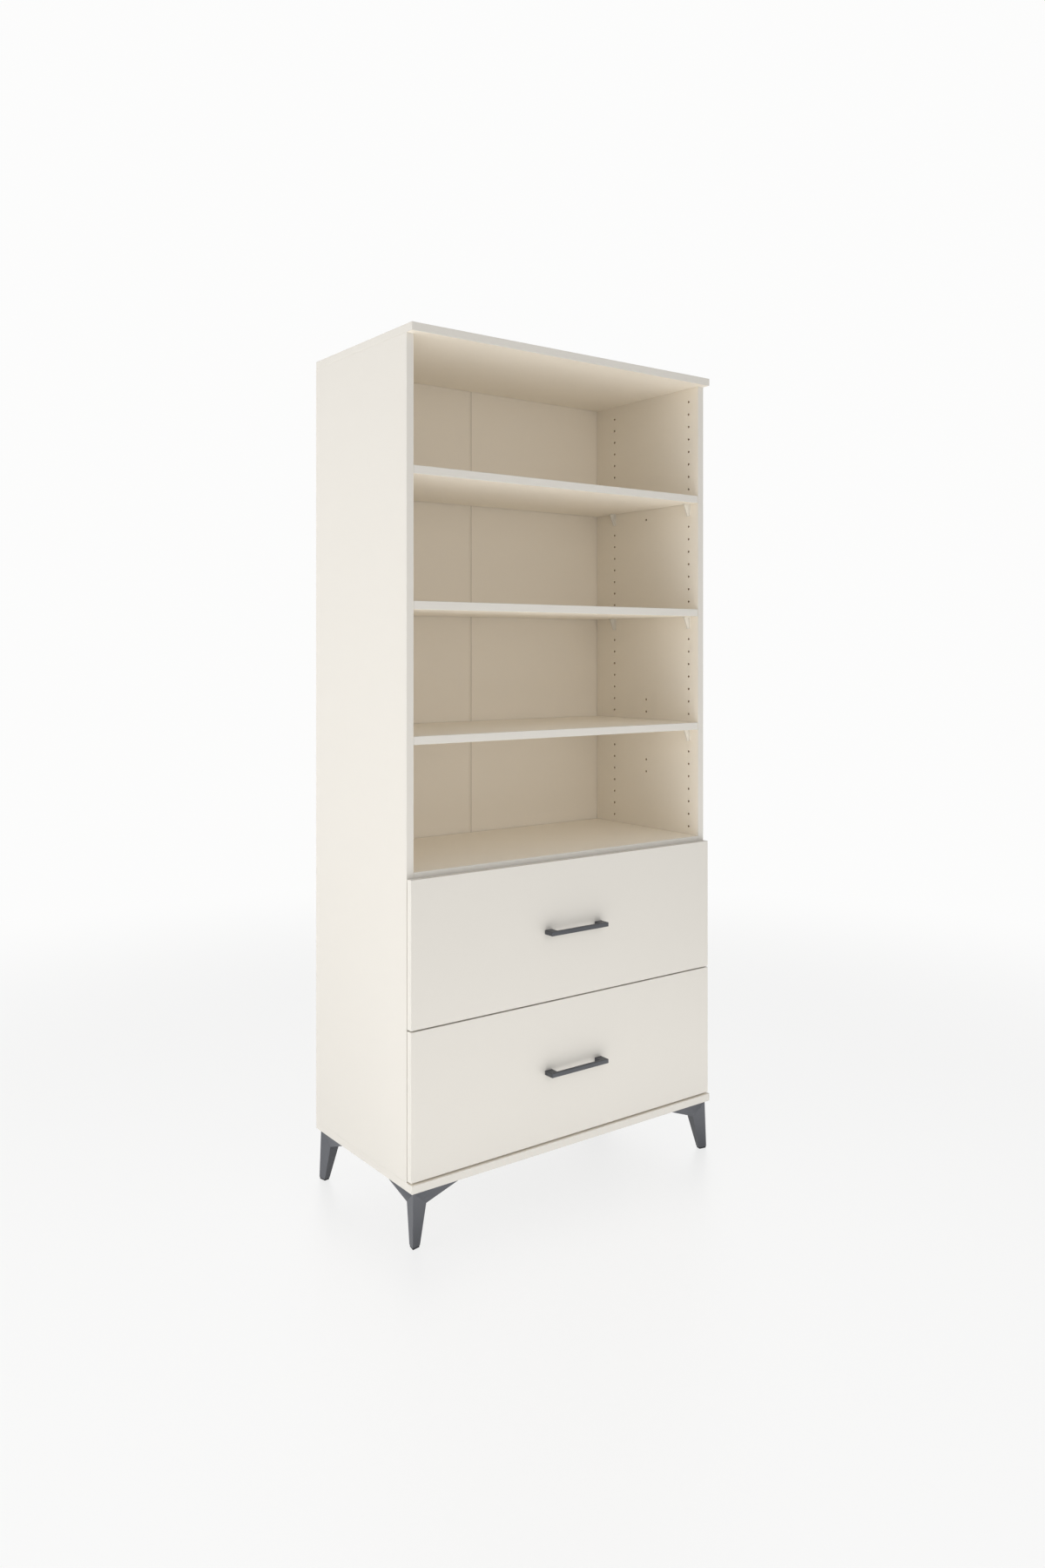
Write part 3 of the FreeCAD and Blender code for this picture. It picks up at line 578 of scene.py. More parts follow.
def merged_copy(node):
    """A CAD node's mesh as one bmesh with joined corners and whole flat faces."""
    bm = bmesh.new()
    bm.from_mesh(frame["nodes"][node].data)
    bmesh.ops.remove_doubles(bm, verts=bm.verts, dist=MERGE_DISTANCE)
    bmesh.ops.dissolve_limit(bm, angle_limit=FLAT_ANGLE, verts=bm.verts, edges=bm.edges)
    return bm


def round_edges(bm, edges, radius, segments=ROUNDING_SEGMENTS):
    """Rounds some edges."""
    bmesh.ops.bevel(
        bm, geom=edges, offset=radius, offset_type="OFFSET", segments=segments, profile=0.5,
        affect="EDGES", clamp_overlap=True, material=-1,
    )


def of_kind(geometry, kind):
    """The vertices, edges or faces among what an operator made."""
    return [item for item in geometry if isinstance(item, kind)]


def lies_in(element, axis, level):
    """Whether an edge or a face lies in a plane square to an axis."""
    return all(abs(vertex.co[axis] - level) < MERGE_DISTANCE for vertex in element.verts)


def plane_faces(bm, axis, level):
    """The faces that lie in a plane square to an axis."""
    return [face for face in bm.faces if lies_in(face, axis, level)]


def reach_along(element, axis):
    """How far an edge or a face reaches along an axis."""
    levels = [vertex.co[axis] for vertex in element.verts]
    return max(levels) - min(levels)


def border_edges(bm, low, high):
    """The edges that lie on the border lines of a box."""
    planes = [(axis, corner[axis]) for axis in (X, Y, Z) for corner in (low, high)]
    return [edge for edge in bm.edges if sum(lies_in(edge, *plane) for plane in planes) > 1]


def sharp_edges(bm, angle=SHARP_ANGLE, shortest=0.0):
    """The edges that turn by more than an angle and are not too short."""
    shared = [edge for edge in bm.edges if len(edge.link_faces) == 2]
    return [edge for edge in shared if edge.calc_face_angle() > angle and edge.calc_length() > shortest]


def islands(bm):
    """The separate solids of a bmesh, as lists of vertices."""
    left = set(bm.verts)
    found = []
    while left:
        reached = [left.pop()]
        for vertex in reached:
            for edge in vertex.link_edges:
                other = edge.other_vert(vertex)
                if other in left:
                    left.remove(other)
                    reached.append(other)
        found.append(reached)
    return found


def solid_boxes(node):
    """The box of each separate solid of a CAD node."""
    bm = merged_copy(node)
    boxes = []
    for vertices in islands(bm):
        low = Vector([min(vertex.co[axis] for vertex in vertices) for axis in (X, Y, Z)])
        high = Vector([max(vertex.co[axis] for vertex in vertices) for axis in (X, Y, Z)])
        boxes.append((low, high))
    bm.free()
    return sorted(boxes, key=lambda box: tuple(box[0]))


def add_piece(bm, name, body, materials, replaced=()):
    """Makes a bmesh an object that rides on a body and stands for CAD nodes."""
    mesh = bpy.data.meshes.new(name)
    bm.to_mesh(mesh)
    bm.free()
    for material in materials:
        mesh.materials.append(material)
    mesh.shade_smooth()
    mesh.set_sharp_from_angle(angle=SHARP_ANGLE)
    piece = bpy.data.objects.new(name, mesh)
    bpy.context.scene.collection.objects.link(piece)
    flat = piece.modifiers.new("Flat Faces", "WEIGHTED_NORMAL")
    flat.keep_sharp = True
    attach(piece, body)
    if replaced:
        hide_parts(*replaced)


def dress(node, material):
    """Gives a CAD node, which keeps its shape, its material."""
    mesh = frame["nodes"][node].data
    mesh.materials.clear()
    mesh.materials.append(material)


def slice_face(bm, plane, axis, levels):
    """Cuts the faces in a plane, given by its axis and level, along lines at some levels of another axis."""
    for level in levels:
        faces = plane_faces(bm, *plane)
        edges = {edge for face in faces for edge in face.edges}
        verts = {vertex for face in faces for vertex in face.verts}
        point, normal = Vector(), Vector()
        point[axis] = level
        normal[axis] = 1
        bmesh.ops.bisect_plane(
            bm, geom=[*faces, *edges, *verts], dist=MERGE_DISTANCE, plane_co=point, plane_no=normal
        )


def ring_at(bm, place, axis, radius, segments):
    """A ring of edges round an axis."""
    turn = axis.to_track_quat("Z", "Y").to_matrix().to_4x4()
    spot = Matrix.Translation(place) @ turn
    made = bmesh.ops.create_circle(bm, segments=segments, radius=radius, matrix=spot)
    return list({edge for vertex in made["verts"] for edge in vertex.link_edges})


def extend_ring(bm, ring, centre, axis, steps, material_index=0):
    """Extrudes a ring of edges in steps of (distance along an axis, scale about it), and closes its end."""
    for distance, scale in steps:
        grown = bmesh.ops.extrude_edge_only(bm, edges=ring)["geom"]
        fresh = of_kind(grown, BMVert)
        for face in of_kind(grown, BMFace):
            face.material_index = material_index
        centre = centre + axis * distance
        bmesh.ops.translate(bm, verts=fresh, vec=axis * distance)
        around = Matrix.Translation(-centre)
        bmesh.ops.scale(bm, verts=fresh, vec=Vector((scale, scale, scale)), space=around)
        ring = [edge for edge in of_kind(grown, BMEdge) if set(edge.verts) <= set(fresh)]
    for face in bmesh.ops.contextual_create(bm, geom=ring)["faces"]:
        face.material_index = material_index


# Boards


def tone_faces(bm, way, index):
    """Gives the faces that look one way another of the piece's materials."""
    for face in bm.faces:
        if face.normal.dot(way) > FACING_COSINE:
            face.material_index = index


def widen_groove(bm):
    """Moves the front wall of an end board's groove forward, clear of the back panels."""
    panel_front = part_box("back_panel_left")[0].y
    play = sizes().groove_play
    wall = [vertex for vertex in bm.verts if 0 < panel_front - vertex.co.y < play]
    bmesh.ops.translate(bm, verts=wall, vec=BACKWARD * (panel_front - play - wall[0].co.y))


def board(node, name, body, material, painted_bounce_ways=(), grooved=False):
    """A board with rounded outer edges. If it has inner faces, these get painted bounce light, a lighter and
    warmer melamine, and its rear edge is raw.
    """
    bm = merged_copy(node)
    if grooved:
        widen_groove(bm)
    round_edges(bm, border_edges(bm, *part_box(node)), sizes().band_radius)
    materials = [material]
    if painted_bounce_ways:
        materials += [painted_bounce_melamine(), chip_core()]
        # Faces that look into the compartments get the melamine with painted bounce light
        for way in painted_bounce_ways:
            tone_faces(bm, way, PAINTED_BOUNCE_FACE)
        tone_faces(bm, BACKWARD, RAW_CORE)
    add_piece(bm, name, body, materials, [node])


def pin_places(side):
    """Where the shelf-pin holes of one side meet its inner face, from the spare shelf's mount."""
    mount = next(m for m in frame["record"]["mounts"] if m["name"] == "spare_shelf_pins_" + side)
    across, middle, level = mount["pos_m"]
    reach = mount["dims"]["spacing_x_mm"] * MILLIMETRE / 2
    pitch = sizes().row_pitch
    top = level + SPARE_ROW * pitch
    columns = (middle - reach, middle + reach)
    places = [(row, y) for row in range(sizes().row_count) for y in columns]
    places += [(row, columns[0] + sizes().middle_column) for row in MIDDLE_COLUMN_ROWS]
    return [Vector((across, y, top - row * pitch)) for row, y in places]


def cell_lines(places, axis, half):
    """The levels along an axis of the borders of the cells round some places."""
    return sorted({round(place[axis] + way * half, LEVEL_DIGITS) for place in places for way in (-1, 1)})


def drill(bm, place, into):
    """Drills a round blind hole with a broken rim into the face cell round a place."""
    size = sizes()
    cell = min(bm.faces, key=lambda face: (face.calc_center_bounds() - place).length)
    border = list(cell.edges)
    bmesh.ops.delete(bm, geom=[cell], context="FACES_ONLY")
    rim = size.hole_radius + size.hole_rim
    ring = ring_at(bm, place, into, rim, HOLE_SEGMENTS)
    bmesh.ops.triangle_fill(bm, edges=border + ring, use_beauty=True, normal=into)
    steps = [(size.hole_rim, size.hole_radius / rim), (size.hole_depth - size.hole_rim, 1)]
    extend_ring(bm, ring, place, into, steps, RAW_CORE)


def side_outline(side, hand):
    """The outline of a side panel seen from above, with its groove for the back."""
    low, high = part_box("side_panel_" + side)
    outer, inner = (low.x, high.x) if hand < 0 else (high.x, low.x)
    panel_low, panel_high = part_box("back_panel_" + side)
    end = (panel_low.x if hand < 0 else panel_high.x) + hand * sizes().panel_play
    front = panel_low.y - sizes().groove_play
    rear = panel_high.y + sizes().panel_play
    return [
        (outer, low.y), (outer, high.y), (inner, high.y), (inner, rear),
        (end, rear), (end, front), (inner, front), (inner, low.y),
    ]


def side_board(side, hand):
    """A side panel: grooved for the back, its front edges banded, with round shelf-pin holes."""
    node = "side_panel_" + side
    low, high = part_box(node)
    outline = side_outline(side, hand)
    inner_plane = (X, outline[-1][X])
    bm = bmesh.new()
    profile = bm.faces.new([bm.verts.new((x, y, low.z)) for x, y in outline])
    grown = bmesh.ops.extrude_face_region(bm, geom=[profile])["geom"]
    bmesh.ops.translate(bm, verts=of_kind(grown, BMVert), vec=UP * (high.z - low.z))
    bmesh.ops.recalc_face_normals(bm, faces=bm.faces)
    fronts = [edge for edge in bm.edges if lies_in(edge, Y, low.y)]
    upright = [edge for edge in fronts if reach_along(edge, X) < MERGE_DISTANCE]
    round_edges(bm, upright, sizes().band_radius)
    places = pin_places(side)
    slice_face(bm, inner_plane, Y, cell_lines(places, Y, sizes().cell_width / 2))
    slice_face(bm, inner_plane, Z, cell_lines(places, Z, sizes().row_pitch / 2))
    for place in places:
        drill(bm, place, Vector((hand, 0, 0)))
    bmesh.ops.recalc_face_normals(bm, faces=bm.faces)
    # The inner face gets the melamine with painted bounce light
    for face in plane_faces(bm, *inner_plane):
        face.material_index = PAINTED_BOUNCE_FACE
    for face in plane_faces(bm, Y, high.y):
        face.material_index = RAW_CORE
    materials = [melamine(), painted_bounce_melamine(), chip_core()]
    add_piece(bm, "side_board_" + side, "cabinet", materials, [node])


def carcass_boards():
    """The boards of the carcass and the shelves."""
    for side, hand in HANDS.items():
        side_board(side, hand)
    end_ways = {"top_panel": [-UP], "bottom_panel": [UP]}
    for node in ("top_panel", "bottom_panel", "fixed_shelf", "shelf_upper", "shelf_middle", "shelf_lower"):
        painted_bounce_ways = end_ways.get(node, [UP, -UP])
        board(node, node + "_board", "cabinet", melamine(), painted_bounce_ways, grooved=node in end_ways)


def sink_channel(bm, low, high):
    """Presses a shallow channel down the middle of the joining strip's face."""
    size = sizes()
    middle = (low.x + high.x) / 2
    half = size.channel_width / 2
    slice_face(bm, (Y, low.y), X, (middle - half, middle + half))
    floor = [face for face in plane_faces(bm, Y, low.y) if abs(face.calc_center_bounds().x - middle) < half]
    edges = {edge for face in floor for edge in face.edges}
    grown = bmesh.ops.extrude_face_region(bm, geom=[*floor, *edges])["geom"]
    bmesh.ops.translate(bm, verts=of_kind(grown, BMVert), vec=BACKWARD * size.channel_depth)
    # The channel floor gets the darker plastic, painted shade
    for face in plane_faces(bm, Y, low.y + size.channel_depth):
        face.material_index = PAINTED_SHADE_CHANNEL_FLOOR


def back_pieces():
    """The two thin back panels and the strip that joins them."""
    low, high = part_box("back_panel_left")
    for side in HANDS:
        dress("back_panel_" + side, thin_panel("back_board", Y, (low.y + high.y) / 2))
    node = "back_joint_strip"
    low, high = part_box(node)
    bm = merged_copy(node)
    upright = [edge for edge in sharp_edges(bm) if reach_along(edge, Z) > (high.z - low.z) / 2]
    round_edges(bm, upright, sizes().trim_radius, SMALL_ROUNDING_SEGMENTS)
    sink_channel(bm, low, high)
    add_piece(bm, "back_strip", "cabinet", [strip_plastic(), painted_shade_channel_plastic()], [node])


def drawer_boards():
    """Fronts, boxes and bottoms of the drawers."""
    for drawer in DRAWERS:
        body = drawer + "_drawer"
        board(body + "_front", drawer + "_front_board", body, melamine())
        for part in ("side_left", "side_right", "back"):
            board(f"{body}_{part}", f"{drawer}_box_{part}", body, drawer_melamine())
        low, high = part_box(body + "_bottom")
        dress(body + "_bottom", thin_panel(drawer + "_bottom_board", Z, (low.z + high.z) / 2))


# Handles and legs


def handles():
    """The bar handles."""
    for drawer in DRAWERS:
        node = drawer + "_handle"
        bm = merged_copy(node)
        edges = sharp_edges(bm, shortest=HANDLE_EDGE)
        round_edges(bm, edges, sizes().handle_radius, SMALL_ROUNDING_SEGMENTS)
        add_piece(bm, drawer + "_bar_handle", drawer + "_drawer", [handle_coat()], [node])


def is_well_wall(face):
    """Whether a face of a leg is one of the narrow upright walls of a screw well."""
    widest = max(reach_along(face, axis) for axis in (X, Y))
    return abs(face.normal.z) < UPRIGHT_COSINE and widest < WELL_WIDTH


def legs():
    """The moulded legs and their pads."""
    for corner in LEG_CORNERS:
        node = "leg_" + corner
        bm = merged_copy(node)
        edges = sharp_edges(bm, LEG_SHARP_ANGLE, LEG_EDGE)
        edges = [edge for edge in edges if not any(is_well_wall(face) for face in edge.link_faces)]
        round_edges(bm, edges, sizes().leg_radius)
        add_piece(bm, "moulded_" + node, "cabinet", [leg_plastic()], [node])
    bm = merged_copy("leg_glides")
    round_edges(bm, sharp_edges(bm), sizes().plastic_radius)
    add_piece(bm, "foot_pads", "cabinet", [glide_rubber()], ["leg_glides"])


# Fasteners


def cross_recess(bm, ring, place, axis, reach):
    """A cross-shaped recess inside a ring of edges."""
    half = reach * CROSS_WIDTH_SHARE / 2
    arm = [(reach, -half), (reach, half), (half, half)]
    turn = axis.to_track_quat("Z", "Y").to_matrix()
    corners = []
    for quarter in range(4):
        spun = Matrix.Rotation(quarter * math.pi / 2, 3, "Z")
        corners += [bm.verts.new(place + turn @ (spun @ Vector((x, y, 0)))) for x, y in arm]
    outline = [bm.edges.new((corners[i - 1], corners[i])) for i in range(len(corners))]
    bmesh.ops.triangle_fill(bm, edges=ring + outline, use_beauty=True, normal=axis)
    extend_ring(bm, outline, place, axis, [(sizes().cross_depth, CROSS_FLOOR_SHARE)])


def fastener(bm, place, axis, radius, steps, cross_share):
    """A turned fastener with a cross recess: steps are (distance, scale) from its head along its axis."""
    ring = ring_at(bm, place, axis, radius, SCREW_SEGMENTS)
    extend_ring(bm, ring, place, axis, steps)
    cross_recess(bm, ring, place, axis, radius * cross_share)


def fasteners(node, name, body, slot, material, way, head_share, neck_share, cross_share):
    """Round fasteners in the places of a CAD node's solids. way gives each one's direction from its head."""
    bm = bmesh.new()
    stand = sizes().head_stand
    for low, high in solid_boxes(node):
        centre, span = (low + high) / 2, high - low
        axis = way(centre)
        length = abs(span.dot(axis))
        radius = max(span[i] for i in (X, Y, Z) if not axis[i]) / 2
        place = centre - axis * (length / 2 + stand)
        head = (length + stand) * head_share
        steps = [(head, neck_share), (length + stand - head, 1)]
        fastener(bm, place, axis, radius, steps, cross_share)
    bmesh.ops.recalc_face_normals(bm, faces=bm.faces)
    add_piece(bm, name, body, [material], [node])


def upward(centre):
    """The way up, wherever a fastener is."""
    return UP


def forward(centre):
    """The way to the front, wherever a fastener is."""
    return -BACKWARD


def to_mid_height(centre):
    """The way up or down towards the bookcase's middle."""
    return UP if centre.z < (cad_box[0].z + cad_box[1].z) / 2 else -UP


def inward(centre):
    """The way across the bookcase towards its middle."""
    return Vector((-math.copysign(1, centre.x), 0, 0))


def outward(centre):
    """The way across the bookcase away from its middle."""
    return -inward(centre)


# Slides


def slide_members():
    """The members of the telescopic slides, with the sheet's edges rounded."""
    for drawer in DRAWERS:
        bodies = {f"slide_outer_{side}": "cabinet" for side in HANDS}
        bodies.update({f"slide_inner_{side}": drawer + "_drawer" for side in HANDS})
        bodies["slide_middles"] = drawer + "_slide_middle_members"
        for part, body in bodies.items():
            node = f"{drawer}_{part}"
            bm = merged_copy(node)
            lengthwise = [edge for edge in sharp_edges(bm) if reach_along(edge, Y) > SLIDE_EDGE]
            round_edges(bm, lengthwise, sizes().sheet_radius, SMALL_ROUNDING_SEGMENTS)
            add_piece(bm, f"{drawer}_sheet_{part}", body, [zinc_sheet()], [node])


def add_balls(bm, low, high):
    """A row of balls along the middle of a ball bar's box."""
    size = sizes()
    middle = (low + high) / 2
    count = int((high.y - low.y) / size.ball_pitch)
    start = middle.y - (count - 1) * size.ball_pitch / 2
    for index in range(count):
        spot = Matrix.Translation((middle.x, start + index * size.ball_pitch, middle.z))
        bmesh.ops.create_uvsphere(
            bm, u_segments=BALL_SEGMENTS, v_segments=BALL_RINGS, radius=size.ball_radius, matrix=spot
        )


def ball_bars():
    """The bars that hold the balls of the slides, with the balls standing out of them."""
    for drawer in DRAWERS:
        for pair in ("outer", "inner"):
            node = f"{drawer}_slide_{pair}_retainers"
            body = f"{drawer}_slide_{pair}_retainer_set"
            bars = merged_copy(node)
            round_edges(bars, bars.edges[:], sizes().sheet_radius, SMALL_ROUNDING_SEGMENTS)
            name = f"{drawer}_{pair}_ball"
            add_piece(bars, name + "_bars", body, [retainer_plastic()], [node])
            balls = bmesh.new()
            for low, high in solid_boxes(node):
                add_balls(balls, low, high)
            add_piece(balls, name + "s", body, [zinc_screw()])


def slide_screws():
    """Pan-head screws that hold the inner slide members on the drawer boxes."""
    size = sizes()
    crown = size.slide_screw_head * PAN_CROWN_SHARE
    steps = [(crown, PAN_RIM_SHARE), (size.slide_screw_head - crown, 1)]
    for drawer in DRAWERS:
        bm = bmesh.new()
        for side, hand in HANDS.items():
            low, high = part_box(f"{drawer}_slide_inner_{side}")
            seat = low.x + size.sheet_metal if hand > 0 else high.x - size.sheet_metal
            out = Vector((hand, 0, 0))
            for share in SLIDE_SCREW_SHARES:
                place = Vector((seat, low.y + (high.y - low.y) * share, (low.z + high.z) / 2))
                head = place + out * size.slide_screw_head
                fastener(bm, head, -out, size.slide_screw_radius, steps, PAN_CROSS_SHARE)
        bmesh.ops.recalc_face_normals(bm, faces=bm.faces)
        add_piece(bm, drawer + "_slide_screws", drawer + "_drawer", [zinc_screw()])


# Fittings


def shelf_supports():
    """The moulded supports under the loose shelves."""
    node = "shelf_supports"
    bm = merged_copy(node)
    edges = sharp_edges(bm, shortest=SUPPORT_EDGE)
    round_edges(bm, edges, sizes().plastic_radius, SMALL_ROUNDING_SEGMENTS)
    add_piece(bm, "moulded_shelf_supports", "cabinet", [pale_plastic()], [node])


def screw_caps():
    """Round caps over the screws in the top board, with a broken edge."""
    edge = sizes().trim_radius
    bm = bmesh.new()
    for low, high in solid_boxes("screw_caps"):
        top = Vector(((low.x + high.x) / 2, (low.y + high.y) / 2, high.z))
        radius = (high.x - low.x) / 2
        ring = ring_at(bm, top, -UP, radius - edge, SCREW_SEGMENTS)
        bmesh.ops.contextual_create(bm, geom=ring)
        steps = [(edge, radius / (radius - edge)), (high.z - low.z - edge, 1)]
        extend_ring(bm, ring, top, -UP, steps)
    bmesh.ops.recalc_face_normals(bm, faces=bm.faces)
    add_piece(bm, "pressed_screw_caps", "cabinet", [pale_plastic()], ["screw_caps"])


def cabinet_fittings():
    """Screws, cams, bolts and dowels of the carcass and the legs."""
    steel = ("cabinet", "fastener_steel", zinc_screw())
    cast = ("cabinet", "cam_metal", die_cast())
    fasteners("carcass_screws", "long_screws", *steel, to_mid_height, **LONG_SCREW)
    fasteners("leg_screws", "flange_screws", *steel, upward, **FLANGE_SCREW)
    fasteners("fixed_shelf_cams", "shelf_cams", *cast, upward, **CAM)
    dress("fixed_shelf_bolts", zinc_screw())
    dress("carcass_dowels", beech())


def drawer_fittings(drawer):
    """Cams, screws, bolts and dowels of a drawer."""
    body = drawer + "_drawer"
    steel = (body, "fastener_steel", zinc_screw())
    cast = (body, "cam_metal", die_cast())
    fasteners(body + "_cams", drawer + "_front_cams", *cast, outward, **CAM)
    fasteners(body + "_screws", drawer + "_box_screws", *steel, inward, **LONG_SCREW)
    fasteners(drawer + "_handle_screws", drawer + "_bar_screws", *steel, forward, **HANDLE_SCREW)
    dress(body + "_bolts", zinc_screw())
    dress(body + "_dowels", beech())


# Stage


def mixed(tree, share, first, second):
    """Two shaders mixed by a share of the second."""
    mix = tree.nodes.new("ShaderNodeMixShader")
    tree.links.new(share, mix.inputs["Fac"])
    tree.links.new(first.outputs[0], mix.inputs[1])
    tree.links.new(second.outputs[0], mix.inputs[2])
    return mix


def seen_rays(tree):
    """A mask of the rays that should find the plain white background."""
    path = tree.nodes.new("ShaderNodeLightPath")
    mirrored = math_node(tree, "MAXIMUM", path.outputs["Is Glossy Ray"], path.outputs["Is Transmission Ray"])
    return math_node(tree, "MAXIMUM", path.outputs["Is Camera Ray"], mirrored)


def floor_fade(tree, stage):
    """How far the floor has become the background: 0 near the bookcase and 1 far away."""
    distance = tree.nodes.new("ShaderNodeVectorMath")
    distance.operation = "LENGTH"
    tree.links.new(object_coordinates(tree), distance.inputs[0])
    fade = tree.nodes.new("ShaderNodeMapRange")
    fade.interpolation_type = "SMOOTHSTEP"
    fade.inputs["From Min"].default_value = stage.fade_start
    fade.inputs["From Max"].default_value = stage.fade_end
    tree.links.new(distance.outputs["Value"], fade.inputs["Value"])
    return fade.outputs["Result"]


def floor_paint(stage):
    """Pale floor with a faint sheen, lightened for the camera, that fades into the background far away."""
    material = bpy.data.materials.new("floor_paint")
    material.use_nodes = True
    tree = material.node_tree
    matt = tree.nodes["Principled BSDF"]
    matt.inputs["Base Color"].default_value = (*colours().floor, 1)
    matt.inputs["Roughness"].default_value = 1.0
    matt.inputs["Specular IOR Level"].default_value = 0.0
    white = tree.nodes.new("ShaderNodeEmission")
    white.inputs["Color"].default_value = (*colours().background, 1)
    fade = floor_fade(tree, stage)
    glow = math_node(tree, "MULTIPLY_ADD", fade, 1 - stage.floor_glow, stage.floor_glow)
    lit = mixed(tree, math_node(tree, "MULTIPLY", seen_rays(tree), glow), matt, white)
    sheen = tree.nodes.new("ShaderNodeBsdfGlossy")
    sheen.inputs["Roughness"].default_value = stage.floor_roughness
    bend = tree.nodes.new("ShaderNodeFresnel")
    bend.inputs["IOR"].default_value = stage.floor_gloss
    near = math_node(tree, "SUBTRACT", 1.0, fade)
    glossy = mixed(tree, math_node(tree, "MULTIPLY", bend.outputs["Fac"], near), lit, sheen)
    tree.links.new(glossy.outputs["Shader"], tree.nodes["Material Output"].inputs["Surface"])
    return material


def lay_floor(stage):
    """The flat floor that the bookcase stands on."""
    bm = bmesh.new()
    bmesh.ops.create_grid(bm, x_segments=1, y_segments=1, size=stage.floor_reach)
    mesh = bpy.data.meshes.new("floor")
    bm.to_mesh(mesh)
    bm.free()
    mesh.materials.append(floor_paint(stage))
    floor = bpy.data.objects.new("floor", mesh)
    bpy.context.scene.collection.objects.link(floor)


def studio_world(stage):
    """Light from overhead that fades to the horizon, and white where the camera looks past the floor."""
    world = bpy.data.worlds.new("studio")
    world.use_nodes = True
    tree = world.node_tree
    light = tree.nodes["Background"]
    light.inputs["Color"].default_value = PURE_WHITE
    split = tree.nodes.new("ShaderNodeSeparateXYZ")
    tree.links.new(tree.nodes.new("ShaderNodeTexCoord").outputs["Generated"], split.inputs["Vector"])
    height = math_node(tree, "MAXIMUM", split.outputs["Z"], 0.0)
    strength = math_node(tree, "MULTIPLY_ADD", height, stage.sky - stage.horizon, stage.horizon)
    tree.links.new(strength, light.inputs["Strength"])
    white = tree.nodes.new("ShaderNodeBackground")
    white.inputs["Color"].default_value = (*colours().background, 1)
    mix = mixed(tree, seen_rays(tree), light, white)
    tree.links.new(mix.outputs["Shader"], tree.nodes["World Output"].inputs["Surface"])
    bpy.context.scene.world = world


def area_light(name, power, place, target, width, depth=None, spread=FULL_SPREAD):
    """A soft lamp that looks at a point and is not seen by the camera. A small spread narrows its beam."""
    lamp = bpy.data.lights.new(name, "AREA")
    lamp.shape = "RECTANGLE"
    lamp.size = width
    lamp.size_y = depth or width
    lamp.energy = power
    lamp.spread = spread
    holder = bpy.data.objects.new(name, lamp)
    holder.location = place
    holder.rotation_euler = (target - Vector(place)).to_track_quat("-Z", "Y").to_euler()
    holder.visible_camera = False
    bpy.context.scene.collection.objects.link(holder)


def studio_lights(stage):
    """Lamps on the left and in front, a narrow one over the top board, and the glow of the floor in front."""
    middle = (cad_box[0] + cad_box[1]) / 2
    area_light("key_light", stage.key, stage.key_place, middle, stage.key_size)
    below = Vector(stage.top_place) - UP
    area_light(
        "top_light", stage.top, stage.top_place, below, stage.top_size, stage.top_depth, stage.top_spread
    )
    above = Vector(stage.near_place) + UP
    area_light("near_floor_light", stage.near, stage.near_place, above, stage.near_size)
    above = Vector(stage.far_place) + UP
    area_light("far_floor_light", stage.far, stage.far_place, above, stage.far_size)
    area_light("front_light", stage.front, stage.front_place, middle, stage.front_size)


def set_camera(stage):
    """A level camera whose lens is shifted down."""
    camera = bpy.data.cameras.new("camera")
    camera.sensor_width = SENSOR_WIDTH
    camera.lens = stage.lens
    camera.shift_y = stage.shift
    holder = bpy.data.objects.new("camera", camera)
    holder.location = stage.camera_place
    holder.rotation_euler = (LEVEL_TILT, 0, stage.camera_turn)
    bpy.context.scene.collection.objects.link(holder)
    bpy.context.scene.camera = holder
    bpy.context.scene.view_settings.view_transform = "Standard"


# Operators


class BOOKCASE_OT_boards(bpy.types.Operator):
    """Round and drill the boards of the carcass and the shelves"""

    bl_idname = "bookcase.boards"
    bl_label = "Carcass Boards"

    def execute(self, context):
        carcass_boards()
        return {"FINISHED"}


class BOOKCASE_OT_back(bpy.types.Operator):
    """Finish the thin back panels and their joining strip"""

    bl_idname = "bookcase.back"
    bl_label = "Back"

    def execute(self, context):
        back_pieces()
        return {"FINISHED"}


class BOOKCASE_OT_drawers(bpy.types.Operator):
    """Finish the fronts, boxes and bottoms of the drawers"""

    bl_idname = "bookcase.drawers"
    bl_label = "Drawers"

    def execute(self, context):
        drawer_boards()
        return {"FINISHED"}


class BOOKCASE_OT_handles(bpy.types.Operator):
    """Round and coat the bar handles"""

    bl_idname = "bookcase.handles"
    bl_label = "Handles"

    def execute(self, context):
        handles()
        return {"FINISHED"}


class BOOKCASE_OT_legs(bpy.types.Operator):
    """Round the moulded legs and their pads"""

    bl_idname = "bookcase.legs"
    bl_label = "Legs"

    def execute(self, context):
        legs()
        return {"FINISHED"}


class BOOKCASE_OT_slides(bpy.types.Operator):
    """Finish the telescopic slides and add their balls and screws"""

    bl_idname = "bookcase.slides"
    bl_label = "Slides"

    def execute(self, context):
        slide_members()
        ball_bars()
        slide_screws()
        return {"FINISHED"}


class BOOKCASE_OT_fittings(bpy.types.Operator):
    """Make the shelf supports, screws, caps, cams, bolts and dowels"""

    bl_idname = "bookcase.fittings"
    bl_label = "Fittings"

    def execute(self, context):
        shelf_supports()
        screw_caps()
        cabinet_fittings()
        for drawer in DRAWERS:
            drawer_fittings(drawer)
        return {"FINISHED"}


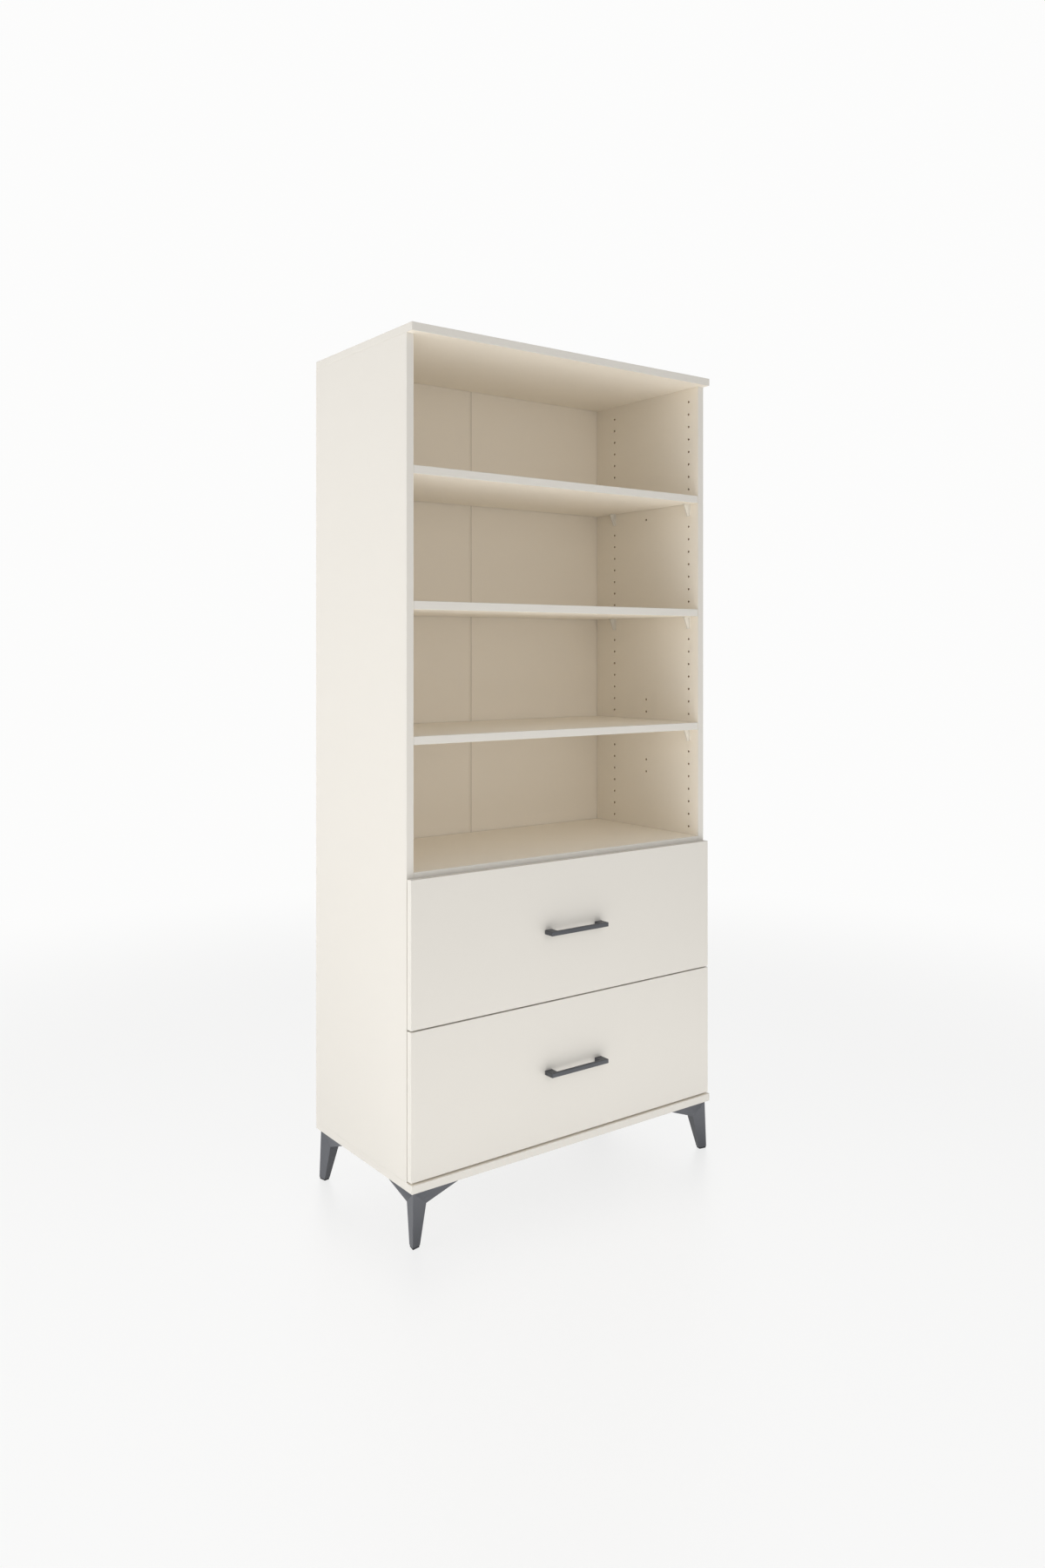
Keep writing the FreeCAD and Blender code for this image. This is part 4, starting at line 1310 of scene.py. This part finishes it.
class BOOKCASE_OT_stage(bpy.types.Operator):
    """Set the floor, the light and the camera"""

    bl_idname = "bookcase.stage"
    bl_label = "Stage"

    def execute(self, context):
        stage = context.scene.bookcase_stage
        lay_floor(stage)
        studio_world(stage)
        studio_lights(stage)
        set_camera(stage)
        return {"FINISHED"}


OPERATORS = (
    BOOKCASE_OT_boards,
    BOOKCASE_OT_back,
    BOOKCASE_OT_drawers,
    BOOKCASE_OT_handles,
    BOOKCASE_OT_legs,
    BOOKCASE_OT_slides,
    BOOKCASE_OT_fittings,
    BOOKCASE_OT_stage,
)
GROUPS = {
    "bookcase_sizes": BookcaseSizes,
    "bookcase_colours": BookcaseColours,
    "bookcase_stage": BookcaseStage,
}


class BOOKCASE_PT_panel(bpy.types.Panel):
    """Lists the operators and the values that a user can change"""

    bl_idname = "BOOKCASE_PT_panel"
    bl_label = "Bookcase"
    bl_space_type = "VIEW_3D"
    bl_region_type = "UI"
    bl_category = "Bookcase"

    def draw(self, context):
        for operator in OPERATORS:
            self.layout.operator(operator.bl_idname)
        for name, group in GROUPS.items():
            box = self.layout.box()
            for value in group.__annotations__:
                box.prop(getattr(context.scene, name), value)


def register():
    """Registers the classes and hangs the values on the scene."""
    for made in (*GROUPS.values(), *OPERATORS, BOOKCASE_PT_panel):
        bpy.utils.register_class(made)
    for name, group in GROUPS.items():
        setattr(bpy.types.Scene, name, PointerProperty(type=group))


def unregister():
    """Takes the values and the classes away again."""
    for name in GROUPS:
        delattr(bpy.types.Scene, name)
    for made in (BOOKCASE_PT_panel, *reversed(OPERATORS), *reversed(GROUPS.values())):
        bpy.utils.unregister_class(made)


def main():
    """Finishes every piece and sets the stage."""
    register()
    bpy.ops.bookcase.boards()
    bpy.ops.bookcase.back()
    bpy.ops.bookcase.drawers()
    bpy.ops.bookcase.handles()
    bpy.ops.bookcase.legs()
    bpy.ops.bookcase.slides()
    bpy.ops.bookcase.fittings()
    bpy.ops.bookcase.stage()


if __name__ == "__main__":
    main()
